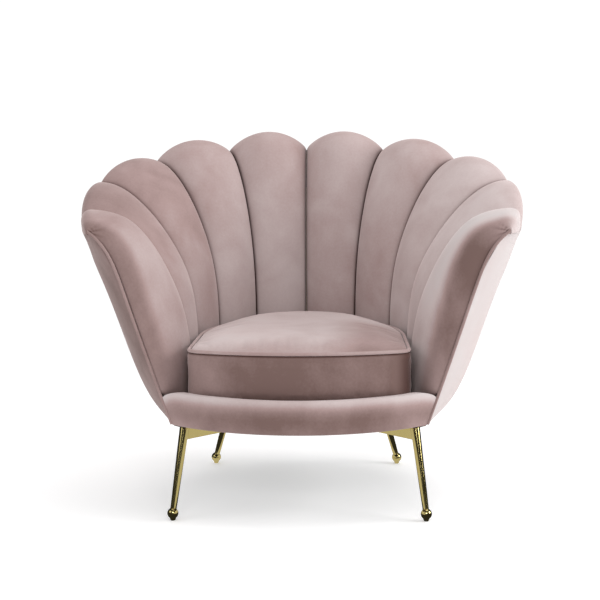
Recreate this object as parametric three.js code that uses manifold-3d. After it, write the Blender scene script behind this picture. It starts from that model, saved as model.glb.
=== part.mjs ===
// Scallop back armchair: five upholstered channels on each side of a flared timber shell, a loose
// boxed seat cushion, a bowed front rail and four splayed metal legs on a crossed bar frame.
// Millimetres, +Z up. The front faces -Y, and left and right are as seen from the front.
import * as THREE from 'three';
import { mergeVertices } from 'three/addons/utils/BufferGeometryUtils.js';
import Module from 'manifold-3d';

const wasm = await Module();
wasm.setup();

// Gaps between neighbouring pieces
const GAP = 0.3;
const TIMBER_CLEARANCE = 0.9;
const SEAM_GAP = 0.8;
const CUT_OVERRUN = 60;

// Inside plan of the shell at the seat and at the rim: half an ellipse, with the seams along it
const CHANNELS = 5;
const LOBED_CHANNELS = CHANNELS - 1;
const SEAT_HALF_WIDTH = 257;
const SEAT_DEPTH = 345;
const SEAT_CENTRE = -102;
const SEAT_CHANNEL_SHARE = 0.13706;
const RIM_HALF_WIDTH = 491;
const RIM_DEPTH = 405;
const RIM_CENTRE = -45;
const RIM_CHANNEL_SHARE = 0.14244;

// Heights and flare of the seams
const PAD_BOTTOM = 272;
const RIM_HEIGHT = 784;
const RIM_FALL = 137.5;
const RIM_FALL_POWER = 2.21;
const FLARE_POWER = 3.15;
const RIM_ROUND_POWER = 6.7;
const RIM_ROLL_WIDTH = 16;
const RIM_ROLL_DROP = 40;

// Fullness of the channels, from the seat to the rolled outer edge
const FULLNESS_SHARES = [0, 0.2, 0.35, 0.55, 0.85, 1, 1.4, 2];
const SEAT_FULLNESS = 9;
const LOWER_FULLNESS = 11;
const MIDDLE_FULLNESS = 15;
const UPPER_FULLNESS = 22;
const LOBE_RISES = [48, 43, 31, 25];
const SHOULDER_SHARE = 0.8;
const ROLL_SHARE = 0.75;
const EDGE_FULLNESS = 13;
const NOSE_FULLNESSES = [27, 33, 35, 42, 52, 27, 9, 4];
const CROWN_SHARES = [0, 1, 2];
const CHANNEL_CROWN_POWERS = [0.75, 0.55, 0.7];
const NOSE_CROWN_POWERS = [0.6, 0.5, 0.6];

// Depth of the channels behind their seams
const DEPTH_SHARES = [0, 0.6, 1, 1.4, 2];
const PAD_DEPTHS = [20, 20, 6, 6, 8];

// Welt down the outer front edge of each arm
const WELT_RADIUS = 3.2;
const WELT_FOOT_INSET = 14;
const WELT_TOP_INSET = 42;
const WELT_TOP_HEIGHT = 622;
const WELT_FOOT_Y = -300;
const WELT_MIDDLE_Y = -312;
const WELT_TOP_Y = -300;
const WELT_STRAIGHT_SHARE = 0.77;
const WELT_CURL_POWER = 11;
const WELT_ROLL_WIDTH = 3;
const WELT_ROLL_DROP = 9;
const WELT_END_SHARE = 0.97;
const WELT_LEAN = 0.1;
const WELT_SEAT = 7.5;

// Outside covers
const BASE_BOTTOM = 200;
const BASE_HALF_WIDTH = 314;
const BASE_BACK = 268;
const BASE_CENTRE = -20;
const COVER_THICKNESS = 5;
const COVER_EDGE_THICKNESS = 2;
const COVER_SWELL = 0.6;
const COVER_SWELL_POWER = 2.6;
const EDGE_GAP = 1;
const WELT_EDGE_GAP = 5;
const BACK_COVER_CHANNELS = 2;

// Timber of the shell
const BOARD_THICKNESS = 6;
const BOARD_END_SHARE = 0.88;
const RIB_THICKNESS = 18;
const RIM_RAIL_WIDTH = 25;
const RIM_RAIL_HEIGHT = 28;
const RIM_RAIL_SHARE = 0.96;

// Base frame
const RAIL_THICKNESS = 28;
const FRONT_RAIL_THICKNESS = 24;
const RAIL_TOP = 239;
const DUST_COVER_THICKNESS = 1.5;
const RAIL_INSET = 7;
const RAIL_JOINT_Y = -255;

// Padded front rail
const BOW_FRONT = -400;
const APRON_TOP = 270;
const APRON_DEPTH = 32;
const APRON_LIP_SHARES = [0, 0.5, 0.75, 1];
const APRON_LIP_DEPTHS = [28, 22, 10, 10];
const APRON_SHARES = [0, 0.12, 0.4, 0.72, 0.9, 1];
const APRON_RECESSES = [5, 0, -3.5, -1, 4, 13];

// Webbing and seat deck
const STRAP_WIDTH = 50;
const STRAP_THICKNESS = 2;
const STRAP_LAP = 8;
const LONG_STRAP_XS = [-100, 0, 100];
const CROSS_STRAP_YS = [-190, 30];
const DECK_THICKNESS = 10;
const DECK_INSET = 5;

// Seat cushion
const CUSHION_HALF_WIDTH = SEAT_HALF_WIDTH - 19;
const CUSHION_FRONT_HALF_WIDTH = CUSHION_HALF_WIDTH + 3.5;
const CUSHION_DEPTH = SEAT_DEPTH - 27;
const CUSHION_SIDE_FRONT = -311;
const CUSHION_BOW = 47;
const CUSHION_CORNER = 26;
const CUSHION_EDGE_HEIGHT = 366;
const CUSHION_CROWN = 25;
const CUSHION_CROWN_POWER = 2.4;
const CUSHION_DRAW_IN = 5;
const PIPING_RADIUS = 4.5;
const CUSHION_LIFT_GAP = 0.4;

// Legs and crossed bars
const FRONT_FOOT = new THREE.Vector2(273, -329);
const FRONT_LEG_TOP = new THREE.Vector2(250, -276);
const REAR_FOOT = new THREE.Vector2(227, 186);
const REAR_LEG_TOP = new THREE.Vector2(176, 158);
const LEG_TOP_RADIUS = 10.5;
const LEG_ANKLE_RADIUS = 6.6;
const BALL_RADIUS = 12;
const BALL_HEIGHT = 15.5;
const TIP_RADIUS = 4.5;
const TIP_NECK_RADIUS = 7;
const PLATE_THICKNESS = 4.5;
const PLATE_WIDTH = 42;
const PLATE_INBOARD = 14;
const PLATE_OUTBOARD = 46;
const BAR_HEIGHT = 29;
const BAR_THICKNESS = 8;
const SCREW_RADIUS = 3;
const SCREW_LENGTH = 28;
const SCREW_HEAD_RADIUS = 6;
const SCREW_HEAD_HEIGHT = 4;
const SCREW_OFFSET = 12;
const FRONT_SCREW_REACH = 26;
const REAR_SCREW_REACH = 22;

// How finely the shapes are drawn
const INNER_STEPS = [0, 0.1, 0.2, 0.3, 0.4, 0.5, 0.6, 0.7, 0.78];
const ROLL_STEPS = [0.85, 0.91, 0.96, 1, 1.2, 1.4, 1.6, 1.8, 2];
const CROWN_STEPS = 8;
const COVER_STEPS = [0, 0.04, 0.12, 0.25, 0.42, 0.6, 0.8, 1];
const COVER_STEPS_PER_CHANNEL = 4;
const TUBE_SIDES = 6;
const APRON_STEPS = 16;
const ROUND_SIDES = 16;
const SCREW_SIDES = 8;
const BALL_STEPS = 8;

const { lerp, clamp, smoothstep } = THREE.MathUtils;
const vector = (x, y, z) => new THREE.Vector3(x, y, z);
const shares = (count) => Array.from({ length: count + 1 }, (_, i) => i / count);

// A smooth curve through values at rising marks
function through(marks, values, at) {
  const last = marks.length - 1;
  const mark = clamp(at, marks[0], marks[last]);
  const i = clamp(marks.findIndex((each) => mark <= each) - 1, 0, last - 1);
  const slope = (j) => {
    const a = Math.max(j - 1, 0);
    const b = Math.min(j + 1, last);
    return (values[b] - values[a]) / (marks[b] - marks[a]);
  };
  const span = marks[i + 1] - marks[i];
  const t = (mark - marks[i]) / span;
  const ends = values[i] * (1 + 2 * t) * (1 - t) ** 2 + values[i + 1] * t * t * (3 - 2 * t);
  return ends + span * (slope(i) * t * (1 - t) ** 2 - slope(i + 1) * t * t * (1 - t));
}

// Turns a geometry's faces to point outwards
function facingOut(geometry) {
  const points = geometry.getAttribute('position');
  const corners = geometry.index.array;
  const [a, b, c] = [vector(0, 0, 0), vector(0, 0, 0), vector(0, 0, 0)];
  let volume = 0;
  for (let i = 0; i < corners.length; i += 3) {
    a.fromBufferAttribute(points, corners[i]);
    b.fromBufferAttribute(points, corners[i + 1]);
    c.fromBufferAttribute(points, corners[i + 2]);
    volume += a.dot(b.cross(c));
  }
  return volume < 0 ? turnedOver(geometry) : geometry;
}

function turnedOver(geometry) {
  const corners = Array.from(geometry.index.array);
  for (let i = 0; i < corners.length; i += 3) {
    [corners[i], corners[i + 1]] = [corners[i + 1], corners[i]];
  }
  geometry.setIndex(corners);
  return geometry;
}

// The same shape on the other side of the chair
function mirrored(geometry) {
  return turnedOver(geometry.clone().scale(-1, 1, 1));
}

// Triangles that close a loop of points, turning the same way as the loop
function capOf(loop) {
  const normal = vector(0, 0, 0);
  loop.forEach((point, i) => {
    const next = loop[(i + 1) % loop.length];
    normal.x += (point.y - next.y) * (point.z + next.z);
    normal.y += (point.z - next.z) * (point.x + next.x);
    normal.z += (point.x - next.x) * (point.y + next.y);
  });
  normal.normalize();
  const side = Math.abs(normal.z) < 0.9 ? vector(0, 0, 1) : vector(1, 0, 0);
  const across = side.cross(normal).normalize();
  const along = normal.clone().cross(across);
  const flat = loop.map((point) => new THREE.Vector2(point.dot(across), point.dot(along)));
  return THREE.ShapeUtils.triangulateShape(flat, []).map(([a, b, c]) => {
    const turn = THREE.ShapeUtils.area([flat[a], flat[b], flat[c]]);
    return turn > 0 ? [a, b, c] : [b, a, c];
  });
}

// A closed body through a row of loops with the same number of points
function loft(loops, ring = false) {
  const size = loops[0].length;
  const index = [];
  const spans = ring ? loops.length : loops.length - 1;
  for (let i = 0; i < spans; i += 1) {
    const a = i * size;
    const b = ((i + 1) % loops.length) * size;
    for (let j = 0; j < size; j += 1) {
      const k = (j + 1) % size;
      index.push(a + j, b + j, b + k, a + j, b + k, a + k);
    }
  }
  if (!ring) {
    const end = (loops.length - 1) * size;
    capOf(loops[0]).forEach(([a, b, c]) => index.push(a, b, c));
    capOf(loops[loops.length - 1]).forEach(([a, b, c]) => index.push(end + b, end + a, end + c));
  }
  const geometry = new THREE.BufferGeometry();
  const places = loops.flat().flatMap((point) => [point.x, point.y, point.z]);
  geometry.setAttribute('position', new THREE.Float32BufferAttribute(places, 3));
  geometry.setIndex(index);
  return facingOut(geometry);
}

// An upright prism over a plan outline
function prism(outline, bottom, top) {
  const shape = new THREE.Shape(outline.map((point) => new THREE.Vector2(point.x, point.y)));
  const upright = new THREE.ExtrudeGeometry(shape, { depth: top - bottom, bevelEnabled: false });
  return upright.translate(0, 0, bottom);
}

function toSolid(geometry) {
  const bare = geometry.clone();
  bare.deleteAttribute('normal');
  bare.deleteAttribute('uv');
  const merged = mergeVertices(bare);
  const vertProperties = new Float32Array(merged.getAttribute('position').array);
  const triVerts = new Uint32Array(merged.index.array);
  return new wasm.Manifold(new wasm.Mesh({ numProp: 3, vertProperties, triVerts }));
}

function toGeometry(solid) {
  const mesh = solid.getMesh();
  const geometry = new THREE.BufferGeometry();
  geometry.setAttribute('position', new THREE.BufferAttribute(mesh.vertProperties, 3));
  geometry.setIndex(new THREE.BufferAttribute(mesh.triVerts, 1));
  return geometry;
}

const cut = (geometry, tools) =>
  toGeometry(tools.reduce((body, tool) => body.subtract(toSolid(tool)), toSolid(geometry)));
const joined = (first, second) => toGeometry(toSolid(first).add(toSolid(second)));

// Seams of the shell
function planPoint(halfWidth, depth, centre, share) {
  const half = new THREE.EllipseCurve(0, centre, halfWidth, depth, Math.PI / 2, -Math.PI / 2, true);
  return half.getPointAt(share);
}

const rimPoint = (channel) => planPoint(RIM_HALF_WIDTH, RIM_DEPTH, RIM_CENTRE, channel * RIM_CHANNEL_SHARE);
const rimHeight = (channel) => RIM_HEIGHT - RIM_FALL * (channel / LOBED_CHANNELS) ** RIM_FALL_POWER;

const SEAMS = shares(LOBED_CHANNELS).map((share) => {
  const channel = share * LOBED_CHANNELS;
  const foot = planPoint(SEAT_HALF_WIDTH, SEAT_DEPTH, SEAT_CENTRE, channel * SEAT_CHANNEL_SHARE);
  const rim = rimPoint(channel);
  return { foot, rim, top: rimHeight(channel), out: rim.clone().sub(foot).normalize() };
});

function lobedSeamPoint(channel, share) {
  const { foot, rim, top, out } = SEAMS[channel];
  const inner = clamp(share, 0, 1);
  const turn = Math.max(share - 1, 0) * Math.PI / 2;
  const flare = inner ** FLARE_POWER;
  const rise = inner + inner ** RIM_ROUND_POWER * (1 - inner);
  const plan = foot.clone().lerp(rim, flare).addScaledVector(out, RIM_ROLL_WIDTH * Math.sin(turn));
  const z = lerp(PAD_BOTTOM, top, rise) - RIM_ROLL_DROP * (1 - Math.cos(turn));
  return vector(plan.x, plan.y, z);
}

const WELT_FOOT_X = BASE_HALF_WIDTH - WELT_FOOT_INSET;
const WELT_TOP_X = RIM_HALF_WIDTH - WELT_TOP_INSET;

function weltPoint(share) {
  const inner = Math.min(share, 1);
  const turn = Math.max(share - 1, 0) * Math.PI / 2;
  const curl = WELT_STRAIGHT_SHARE * inner + (1 - WELT_STRAIGHT_SHARE) * inner ** WELT_CURL_POWER;
  const bow = WELT_MIDDLE_Y - (WELT_FOOT_Y + WELT_TOP_Y) / 2;
  const y = lerp(WELT_FOOT_Y, WELT_TOP_Y, inner) + 4 * bow * inner * (1 - inner);
  const x = lerp(WELT_FOOT_X, WELT_TOP_X, curl) + WELT_ROLL_WIDTH * Math.sin(turn);
  const z = lerp(PAD_BOTTOM, WELT_TOP_HEIGHT, inner) - WELT_ROLL_DROP * (1 - Math.cos(turn));
  return vector(x, y, z);
}

const weltShareAt = (z) => (z - PAD_BOTTOM) / (WELT_TOP_HEIGHT - PAD_BOTTOM);
const seamPoint = (seam, share) => (seam === CHANNELS ? weltPoint(share) : lobedSeamPoint(seam, share));

// Unit direction from a seam into the wall
function intoWall(seam, share) {
  if (seam === CHANNELS) {
    const turn = smoothstep(share, 0.8, 1.2);
    return vector(-WELT_LEAN - 0.6 * turn, 1 - 0.4 * turn, -0.5 * turn).normalize();
  }
  const step = 0.01;
  const along = lobedSeamPoint(seam, Math.min(share + step, 2)).sub(
    lobedSeamPoint(seam, Math.max(share - step, 0)));
  const { out } = SEAMS[seam];
  const outward = along.x * out.x + along.y * out.y;
  return vector(along.z * out.x, along.z * out.y, -outward).normalize();
}

const padDepth = (share) => through(DEPTH_SHARES, PAD_DEPTHS, share);
const behindSeam = (seam, share, depth) =>
  seamPoint(seam, share).addScaledVector(intoWall(seam, share), depth);

// Channel pads
function fullness(channel, share) {
  if (channel === LOBED_CHANNELS) return through(FULLNESS_SHARES, NOSE_FULLNESSES, share);
  const lobe = LOBE_RISES[channel];
  const values = [SEAT_FULLNESS, LOWER_FULLNESS, MIDDLE_FULLNESS, UPPER_FULLNESS,
    lobe * SHOULDER_SHARE, lobe, lobe * ROLL_SHARE, EDGE_FULLNESS];
  return through(FULLNESS_SHARES, values, share);
}

function facing(channel, share, across) {
  const step = 0.01;
  const at = (s) => seamPoint(channel, s).lerp(seamPoint(channel + 1, s), across);
  const along = at(Math.min(share + step, 2)).sub(at(Math.max(share - step, 0)));
  const over = seamPoint(channel + 1, share).sub(seamPoint(channel, share));
  return over.cross(along).normalize();
}

function padLoop(channel, share) {
  const [near, far] = [seamPoint(channel, share), seamPoint(channel + 1, share)];
  const width = near.distanceTo(far);
  const inset = SEAM_GAP / 2 / width;
  const farInset = channel === LOBED_CHANNELS ? WELT_SEAT / width : inset;
  const powers = channel === LOBED_CHANNELS ? NOSE_CROWN_POWERS : CHANNEL_CROWN_POWERS;
  const power = through(CROWN_SHARES, powers, share);
  const front = shares(CROWN_STEPS).map((step) => {
    const place = (1 - Math.cos(Math.PI * step)) / 2;
    const across = lerp(inset, 1 - farInset, place);
    const crown = (4 * place * (1 - place)) ** power;
    const proud = facing(channel, share, across).multiplyScalar(fullness(channel, share) * crown);
    return near.clone().lerp(far, across).add(proud);
  });
  const depth = padDepth(share);
  const nearBack = behindSeam(channel, share, depth);
  const farBack = behindSeam(channel + 1, share, depth);
  const back = [1 - farInset, inset].map((across) => nearBack.clone().lerp(farBack, across));
  return [...front, ...back];
}

const channelPad = (channel) =>
  loft([...INNER_STEPS, ...ROLL_STEPS].map((share) => padLoop(channel, share)));

// Boards behind the pads, drawn on the same seams as the pads' backs. The front one stops short of
// the welt.
function boardPoint(seam, share, depth) {
  if (seam < CHANNELS) return behindSeam(seam, share, padDepth(share) + depth);
  const [near, far] = [LOBED_CHANNELS, CHANNELS].map((each) => behindSeam(each, share, padDepth(share)));
  const out = facing(LOBED_CHANNELS, share, BOARD_END_SHARE);
  return near.lerp(far, BOARD_END_SHARE).addScaledVector(out, -depth);
}

function boardLoop(seam, bottom, near, far) {
  const face = (depth, steps) => steps.map((share) => boardPoint(seam, share, depth));
  const front = face(near, [...INNER_STEPS].reverse());
  const back = face(far, INNER_STEPS);
  const drop = (point) => point.clone().setZ(bottom);
  return [...front, drop(front[front.length - 1]), drop(back[0]), ...back];
}

function board(first, last, bottom, near = TIMBER_CLEARANCE, far = TIMBER_CLEARANCE + BOARD_THICKNESS) {
  return loft(shares(last - first).map((share) => boardLoop(lerp(first, last, share), bottom, near, far)));
}

// Outside covers
const EDGE_HALF_WIDTH = RIM_HALF_WIDTH + RIM_ROLL_WIDTH;
const EDGE_BACK = RIM_CENTRE + RIM_DEPTH + RIM_ROLL_WIDTH;
const WELT_EDGE_HEIGHT = WELT_TOP_HEIGHT - WELT_ROLL_DROP - WELT_EDGE_GAP;

function edgeHeight(channel) {
  const low = Math.min(Math.floor(channel), LOBED_CHANNELS);
  const ends = [low, low + 1].map((seam) =>
    (seam > LOBED_CHANNELS ? WELT_EDGE_HEIGHT : rimHeight(seam) - RIM_ROLL_DROP - EDGE_GAP));
  return lerp(ends[0], ends[1], channel - low);
}

// The plan curve of the covers at a share of their height: two ellipse quarters a side
function coverPlan(share) {
  const swell = share + COVER_SWELL * Math.sqrt(share) * (1 - share) ** COVER_SWELL_POWER;
  const halfWidth = lerp(BASE_HALF_WIDTH, EDGE_HALF_WIDTH, swell);
  const centre = lerp(BASE_CENTRE, RIM_CENTRE, share);
  const back = lerp(BASE_BACK, EDGE_BACK, share);
  const front = weltPoint(weltShareAt(lerp(BASE_BOTTOM, WELT_EDGE_HEIGHT, share)));
  front.y += WELT_RADIUS + GAP;
  const frontAngle = Math.PI - Math.asin(front.x / halfWidth);
  const frontDepth = (front.y - centre) / Math.cos(frontAngle);
  return { halfWidth, centre, back, front, frontAngle, frontDepth };
}

const EDGE_PLAN = coverPlan(1);

function rimAngle(channel) {
  const reach = rimPoint(channel).y - RIM_CENTRE;
  return Math.acos(reach / (reach > 0 ? RIM_DEPTH : EDGE_PLAN.frontDepth));
}

function coverAngle(channel, plan) {
  const lobed = (seam) => rimAngle(seam) * plan.frontAngle / EDGE_PLAN.frontAngle;
  if (channel <= LOBED_CHANNELS) return lobed(channel);
  return lerp(lobed(LOBED_CHANNELS), plan.frontAngle, channel - LOBED_CHANNELS);
}

function coverPoint(side, share, inset = 0) {
  const channel = Math.abs(side);
  const plan = coverPlan(share);
  const angle = coverAngle(channel, plan);
  const depth = angle < Math.PI / 2 ? plan.back - plan.centre : plan.frontDepth;
  const point = new THREE.Vector2(plan.halfWidth * Math.sin(angle), plan.centre + depth * Math.cos(angle));
  const normal = new THREE.Vector2(Math.sin(angle) / plan.halfWidth, Math.cos(angle) / depth).normalize();
  point.addScaledVector(normal, -inset);
  return vector(Math.sign(side) * point.x, point.y, lerp(BASE_BOTTOM, edgeHeight(channel), share));
}

const coverPointAt = (channel, z, inset) =>
  coverPoint(channel, clamp((z - BASE_BOTTOM) / (edgeHeight(channel) - BASE_BOTTOM), 0, 1), inset);

function cover(first, last, outerInset = 0, innerInset = COVER_THICKNESS) {
  const count = Math.round((last - first) * COVER_STEPS_PER_CHANNEL);
  const up = COVER_STEPS;
  const down = [...COVER_STEPS].reverse();
  return loft(shares(count).map((step) => {
    const channel = lerp(first, last, step);
    const thinned = smoothstep(channel, LOBED_CHANNELS, CHANNELS) * (COVER_THICKNESS - COVER_EDGE_THICKNESS);
    return [...up.map((share) => coverPoint(channel, share, outerInset)),
      ...down.map((share) => coverPoint(channel, share, innerInset - thinned))];
  }));
}

const SEAT_CHANNEL_WIDTH = SEAMS[0].foot.distanceTo(SEAMS[1].foot);
const COVER_SEAM = BACK_COVER_CHANNELS + 2 * SEAM_GAP / SEAT_CHANNEL_WIDTH;
const backCover = () => cover(-BACK_COVER_CHANNELS, BACK_COVER_CHANNELS);
const armCover = () => cover(COVER_SEAM, CHANNELS);

// A round cord along a row of centres
function tube(centres, radius, ring = false) {
  const last = centres.length - 1;
  const loops = centres.map((centre, i) => {
    const before = ring ? centres[(i + last) % centres.length] : centres[Math.max(i - 1, 0)];
    const after = ring ? centres[(i + 1) % centres.length] : centres[Math.min(i + 1, last)];
    const along = after.clone().sub(before).normalize();
    const side = along.clone().cross(vector(0, -Math.SQRT1_2, Math.SQRT1_2)).normalize();
    const up = side.clone().cross(along);
    return shares(TUBE_SIDES).slice(1).map((share) => centre.clone()
      .addScaledVector(side, radius * Math.cos(2 * Math.PI * share))
      .addScaledVector(up, radius * Math.sin(2 * Math.PI * share)));
  });
  return loft(loops, ring);
}

function armWelt() {
  const foot = weltShareAt(BASE_BOTTOM + WELT_RADIUS);
  return tube(shares(APRON_STEPS).map((step) => weltPoint(lerp(foot, WELT_END_SHARE, step))), WELT_RADIUS);
}

// Timber ribs between the boards and the covers
function rib(seam) {
  const inner = INNER_STEPS.slice(0, -1).map((share) => behindSeam(seam, share, padDepth(share)));
  inner.unshift(inner[0].clone().setZ(RAIL_TOP + GAP));
  const rough = loft(inner.map((near) => {
    const far = coverPointAt(seam, near.z, 0);
    const side = vector(near.y - far.y, far.x - near.x, 0).normalize().multiplyScalar(RIB_THICKNESS / 2);
    return [near.clone().add(side), far.clone().add(side), far.clone().sub(side), near.clone().sub(side)];
  }));
  const behindBoard = 2 * TIMBER_CLEARANCE + BOARD_THICKNESS;
  const boardSide = board(seam - 1, seam + 1, BASE_BOTTOM, -CUT_OVERRUN, behindBoard);
  const reach = 1 / COVER_STEPS_PER_CHANNEL;
  const coverSide = cover(seam - reach, seam + reach, -CUT_OVERRUN, COVER_THICKNESS + TIMBER_CLEARANCE);
  return cut(rough, [boardSide, coverSide]);
}

// Timber rail under the lobes
function rimRailLoop(seam) {
  const top = [2, 1, RIM_RAIL_SHARE].map((share) =>
    behindSeam(seam, share, padDepth(share) + TIMBER_CLEARANCE));
  const low = top[0].z - RIM_RAIL_HEIGHT;
  const outer = coverPointAt(seam, low, COVER_THICKNESS + TIMBER_CLEARANCE);
  const inner = coverPointAt(seam, low, COVER_THICKNESS + TIMBER_CLEARANCE + RIM_RAIL_WIDTH);
  return [...top, inner, outer];
}

const rimRail = () => loft(shares(LOBED_CHANNELS).map((share) => {
  const loop = rimRailLoop(share * LOBED_CHANNELS);
  return share === 0 ? loop.map((point) => point.setX(GAP / 2)) : loop;
}));

// Base rails, upright bands between two plan curves
const RAIL_BOTTOM = BASE_BOTTOM + DUST_COVER_THICKNESS + GAP;

function band(outerPlan, innerPlan) {
  return loft(outerPlan.map((outer, i) => {
    const inner = innerPlan[i];
    return [vector(outer.x, outer.y, RAIL_BOTTOM), vector(inner.x, inner.y, RAIL_BOTTOM),
      vector(inner.x, inner.y, RAIL_TOP), vector(outer.x, outer.y, RAIL_TOP)];
  }));
}

// The channel coordinate at which a curve inside the covers' foot reaches a given depth of the chair
function channelAtY(y, inset) {
  let [low, high] = [LOBED_CHANNELS - 1, CHANNELS];
  for (let round = 0; round < 30; round += 1) {
    const middle = (low + high) / 2;
    if (coverPoint(middle, 0, inset).y > y) low = middle;
    else high = middle;
  }
  return low;
}

const footPlan = (channels, inset) => channels.map((channel) => coverPoint(channel, 0, inset));
const RAIL_INNER = RAIL_INSET + RAIL_THICKNESS;

function rearRail() {
  const channels = shares(12).map((step) => lerp(-BACK_COVER_CHANNELS, BACK_COVER_CHANNELS, step));
  return band(footPlan(channels, RAIL_INSET), footPlan(channels, RAIL_INNER));
}

function sideRail() {
  const along = (inset) => {
    const last = channelAtY(RAIL_JOINT_Y + GAP, inset);
    return footPlan(shares(8).map((step) => lerp(COVER_SEAM, last, step)), inset);
  };
  return band(along(RAIL_INSET), along(RAIL_INNER));
}

// Plan arcs of the bowed front, through the welts' feet
const APRON_FOOT = weltPoint(weltShareAt(BASE_BOTTOM));

function bow(end, front) {
  const sag = end.y - front;
  const radius = (end.x ** 2 + sag ** 2) / (2 * sag);
  return { radius, centre: front + radius, angle: Math.asin(end.x / radius) };
}

const BOW = bow(APRON_FOOT, BOW_FRONT);

function bowPoint({ radius, centre, angle }, share, inset = 0) {
  const turn = angle * share;
  return new THREE.Vector2((radius - inset) * Math.sin(turn), centre - (radius - inset) * Math.cos(turn));
}

function frontRail() {
  const along = (inset) => {
    const radius = BOW.radius - inset;
    const end = Math.acos((BOW.centre - RAIL_JOINT_Y) / radius) / BOW.angle;
    return shares(APRON_STEPS).map((step) => bowPoint(BOW, lerp(-end, end, step), inset));
  };
  const face = APRON_DEPTH + TIMBER_CLEARANCE;
  return band(along(face), along(face + FRONT_RAIL_THICKNESS));
}

// Padded cover of the front rail
function apron() {
  const fronts = APRON_SHARES.map((share, i) => {
    const z = lerp(BASE_BOTTOM, APRON_TOP, share);
    return { z, arc: bow(weltPoint(weltShareAt(z)), BOW_FRONT + APRON_RECESSES[i]) };
  });
  const trim = (WELT_RADIUS + GAP) / BOW.radius / BOW.angle;
  return loft(shares(APRON_STEPS).map((step) => {
    const share = lerp(trim - 1, 1 - trim, step);
    const front = fronts.map(({ z, arc }) => {
      const point = bowPoint(arc, share);
      return vector(point.x, point.y, z);
    });
    const lip = bowPoint(BOW, share, through(APRON_LIP_SHARES, APRON_LIP_DEPTHS, Math.abs(share)));
    const behind = bowPoint(BOW, share, APRON_DEPTH);
    return [...front, vector(lip.x, lip.y, APRON_TOP), vector(lip.x, lip.y, RAIL_TOP),
      vector(behind.x, behind.y, RAIL_TOP), vector(behind.x, behind.y, BASE_BOTTOM)];
  }));
}

// Seat cushion: its plan outline, counter-clockwise from the middle of the front
function cushionHalfOutline() {
  const slant = CUSHION_FRONT_HALF_WIDTH - CUSHION_HALF_WIDTH;
  const front = bow(new THREE.Vector2(CUSHION_FRONT_HALF_WIDTH, CUSHION_SIDE_FRONT),
    CUSHION_SIDE_FRONT - CUSHION_BOW);
  const cornerShare = 1 - CUSHION_CORNER / front.radius / front.angle;
  const bowed = shares(6).map((step) => bowPoint(front, step * cornerShare));
  const start = bowed[bowed.length - 1];
  const end = new THREE.Vector2(CUSHION_FRONT_HALF_WIDTH, CUSHION_SIDE_FRONT + CUSHION_CORNER);
  const corner = new THREE.QuadraticBezierCurve(start,
    new THREE.Vector2(CUSHION_FRONT_HALF_WIDTH, CUSHION_SIDE_FRONT), end);
  const side = [1 / 3, 2 / 3].map((share) => new THREE.Vector2(
    CUSHION_FRONT_HALF_WIDTH - slant * share, lerp(end.y, SEAT_CENTRE, share)));
  const round = shares(9).map((step) => new THREE.Vector2(
    CUSHION_HALF_WIDTH * Math.cos(step * Math.PI / 2),
    SEAT_CENTRE + CUSHION_DEPTH * Math.sin(step * Math.PI / 2)));
  return [...bowed, ...corner.getPoints(4).slice(1), ...side, ...round];
}

const CUSHION_OUTLINE = (() => {
  const half = cushionHalfOutline();
  const other = half.slice(1, -1).reverse().map((point) => new THREE.Vector2(-point.x, point.y));
  return [...half, ...other];
})();

function cushionLoop(inset, z, size = 1) {
  const middle = (CUSHION_SIDE_FRONT + SEAT_CENTRE + CUSHION_DEPTH) / 2;
  return CUSHION_OUTLINE.map((point, i) => {
    const before = CUSHION_OUTLINE[(i + CUSHION_OUTLINE.length - 1) % CUSHION_OUTLINE.length];
    const after = CUSHION_OUTLINE[(i + 1) % CUSHION_OUTLINE.length];
    const along = after.clone().sub(before).normalize();
    const moved = new THREE.Vector2(point.x - along.y * inset, point.y + along.x * inset);
    return vector(moved.x * size, middle + (moved.y - middle) * size, z);
  });
}

const STRAP_TOP = RAIL_TOP + GAP + 2 * STRAP_THICKNESS + GAP;
const DECK_BOTTOM = STRAP_TOP + GAP;
const DECK_TOP = DECK_BOTTOM + DECK_THICKNESS;
const CUSHION_BOTTOM = DECK_TOP + CUSHION_LIFT_GAP;
const LOWER_PIPING_HEIGHT = CUSHION_BOTTOM + PIPING_RADIUS;
const PIPING_SEAT = 2 * PIPING_RADIUS + GAP;

function seatCushion() {
  const nip = PIPING_RADIUS + GAP;
  const lower = LOWER_PIPING_HEIGHT;
  const upper = CUSHION_EDGE_HEIGHT;
  const boxing = (share) => CUSHION_DRAW_IN * 4 * share * (1 - share) + GAP;
  const crownRise = (size) => CUSHION_CROWN * (1 - size ** CUSHION_CROWN_POWER);
  const crown = [0.97, 0.88, 0.72, 0.5, 0.24, 0.06].map((size) =>
    cushionLoop(PIPING_SEAT, upper + PIPING_RADIUS / 2 + crownRise(size), size));
  const sides = [0.06, 0.3, 0.6, 0.94].map((share) =>
    cushionLoop(boxing(share), lerp(lower + nip, upper - nip, share)));
  return loft([
    cushionLoop(PIPING_SEAT, CUSHION_BOTTOM, 0.5),
    cushionLoop(PIPING_SEAT, CUSHION_BOTTOM),
    cushionLoop(PIPING_SEAT, lower + nip - GAP),
    ...sides,
    cushionLoop(PIPING_SEAT, upper - nip + GAP),
    cushionLoop(PIPING_SEAT, upper + PIPING_RADIUS / 2),
    ...crown,
  ]);
}

const piping = (height) => tube(cushionLoop(PIPING_RADIUS, height), PIPING_RADIUS, true);

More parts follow.
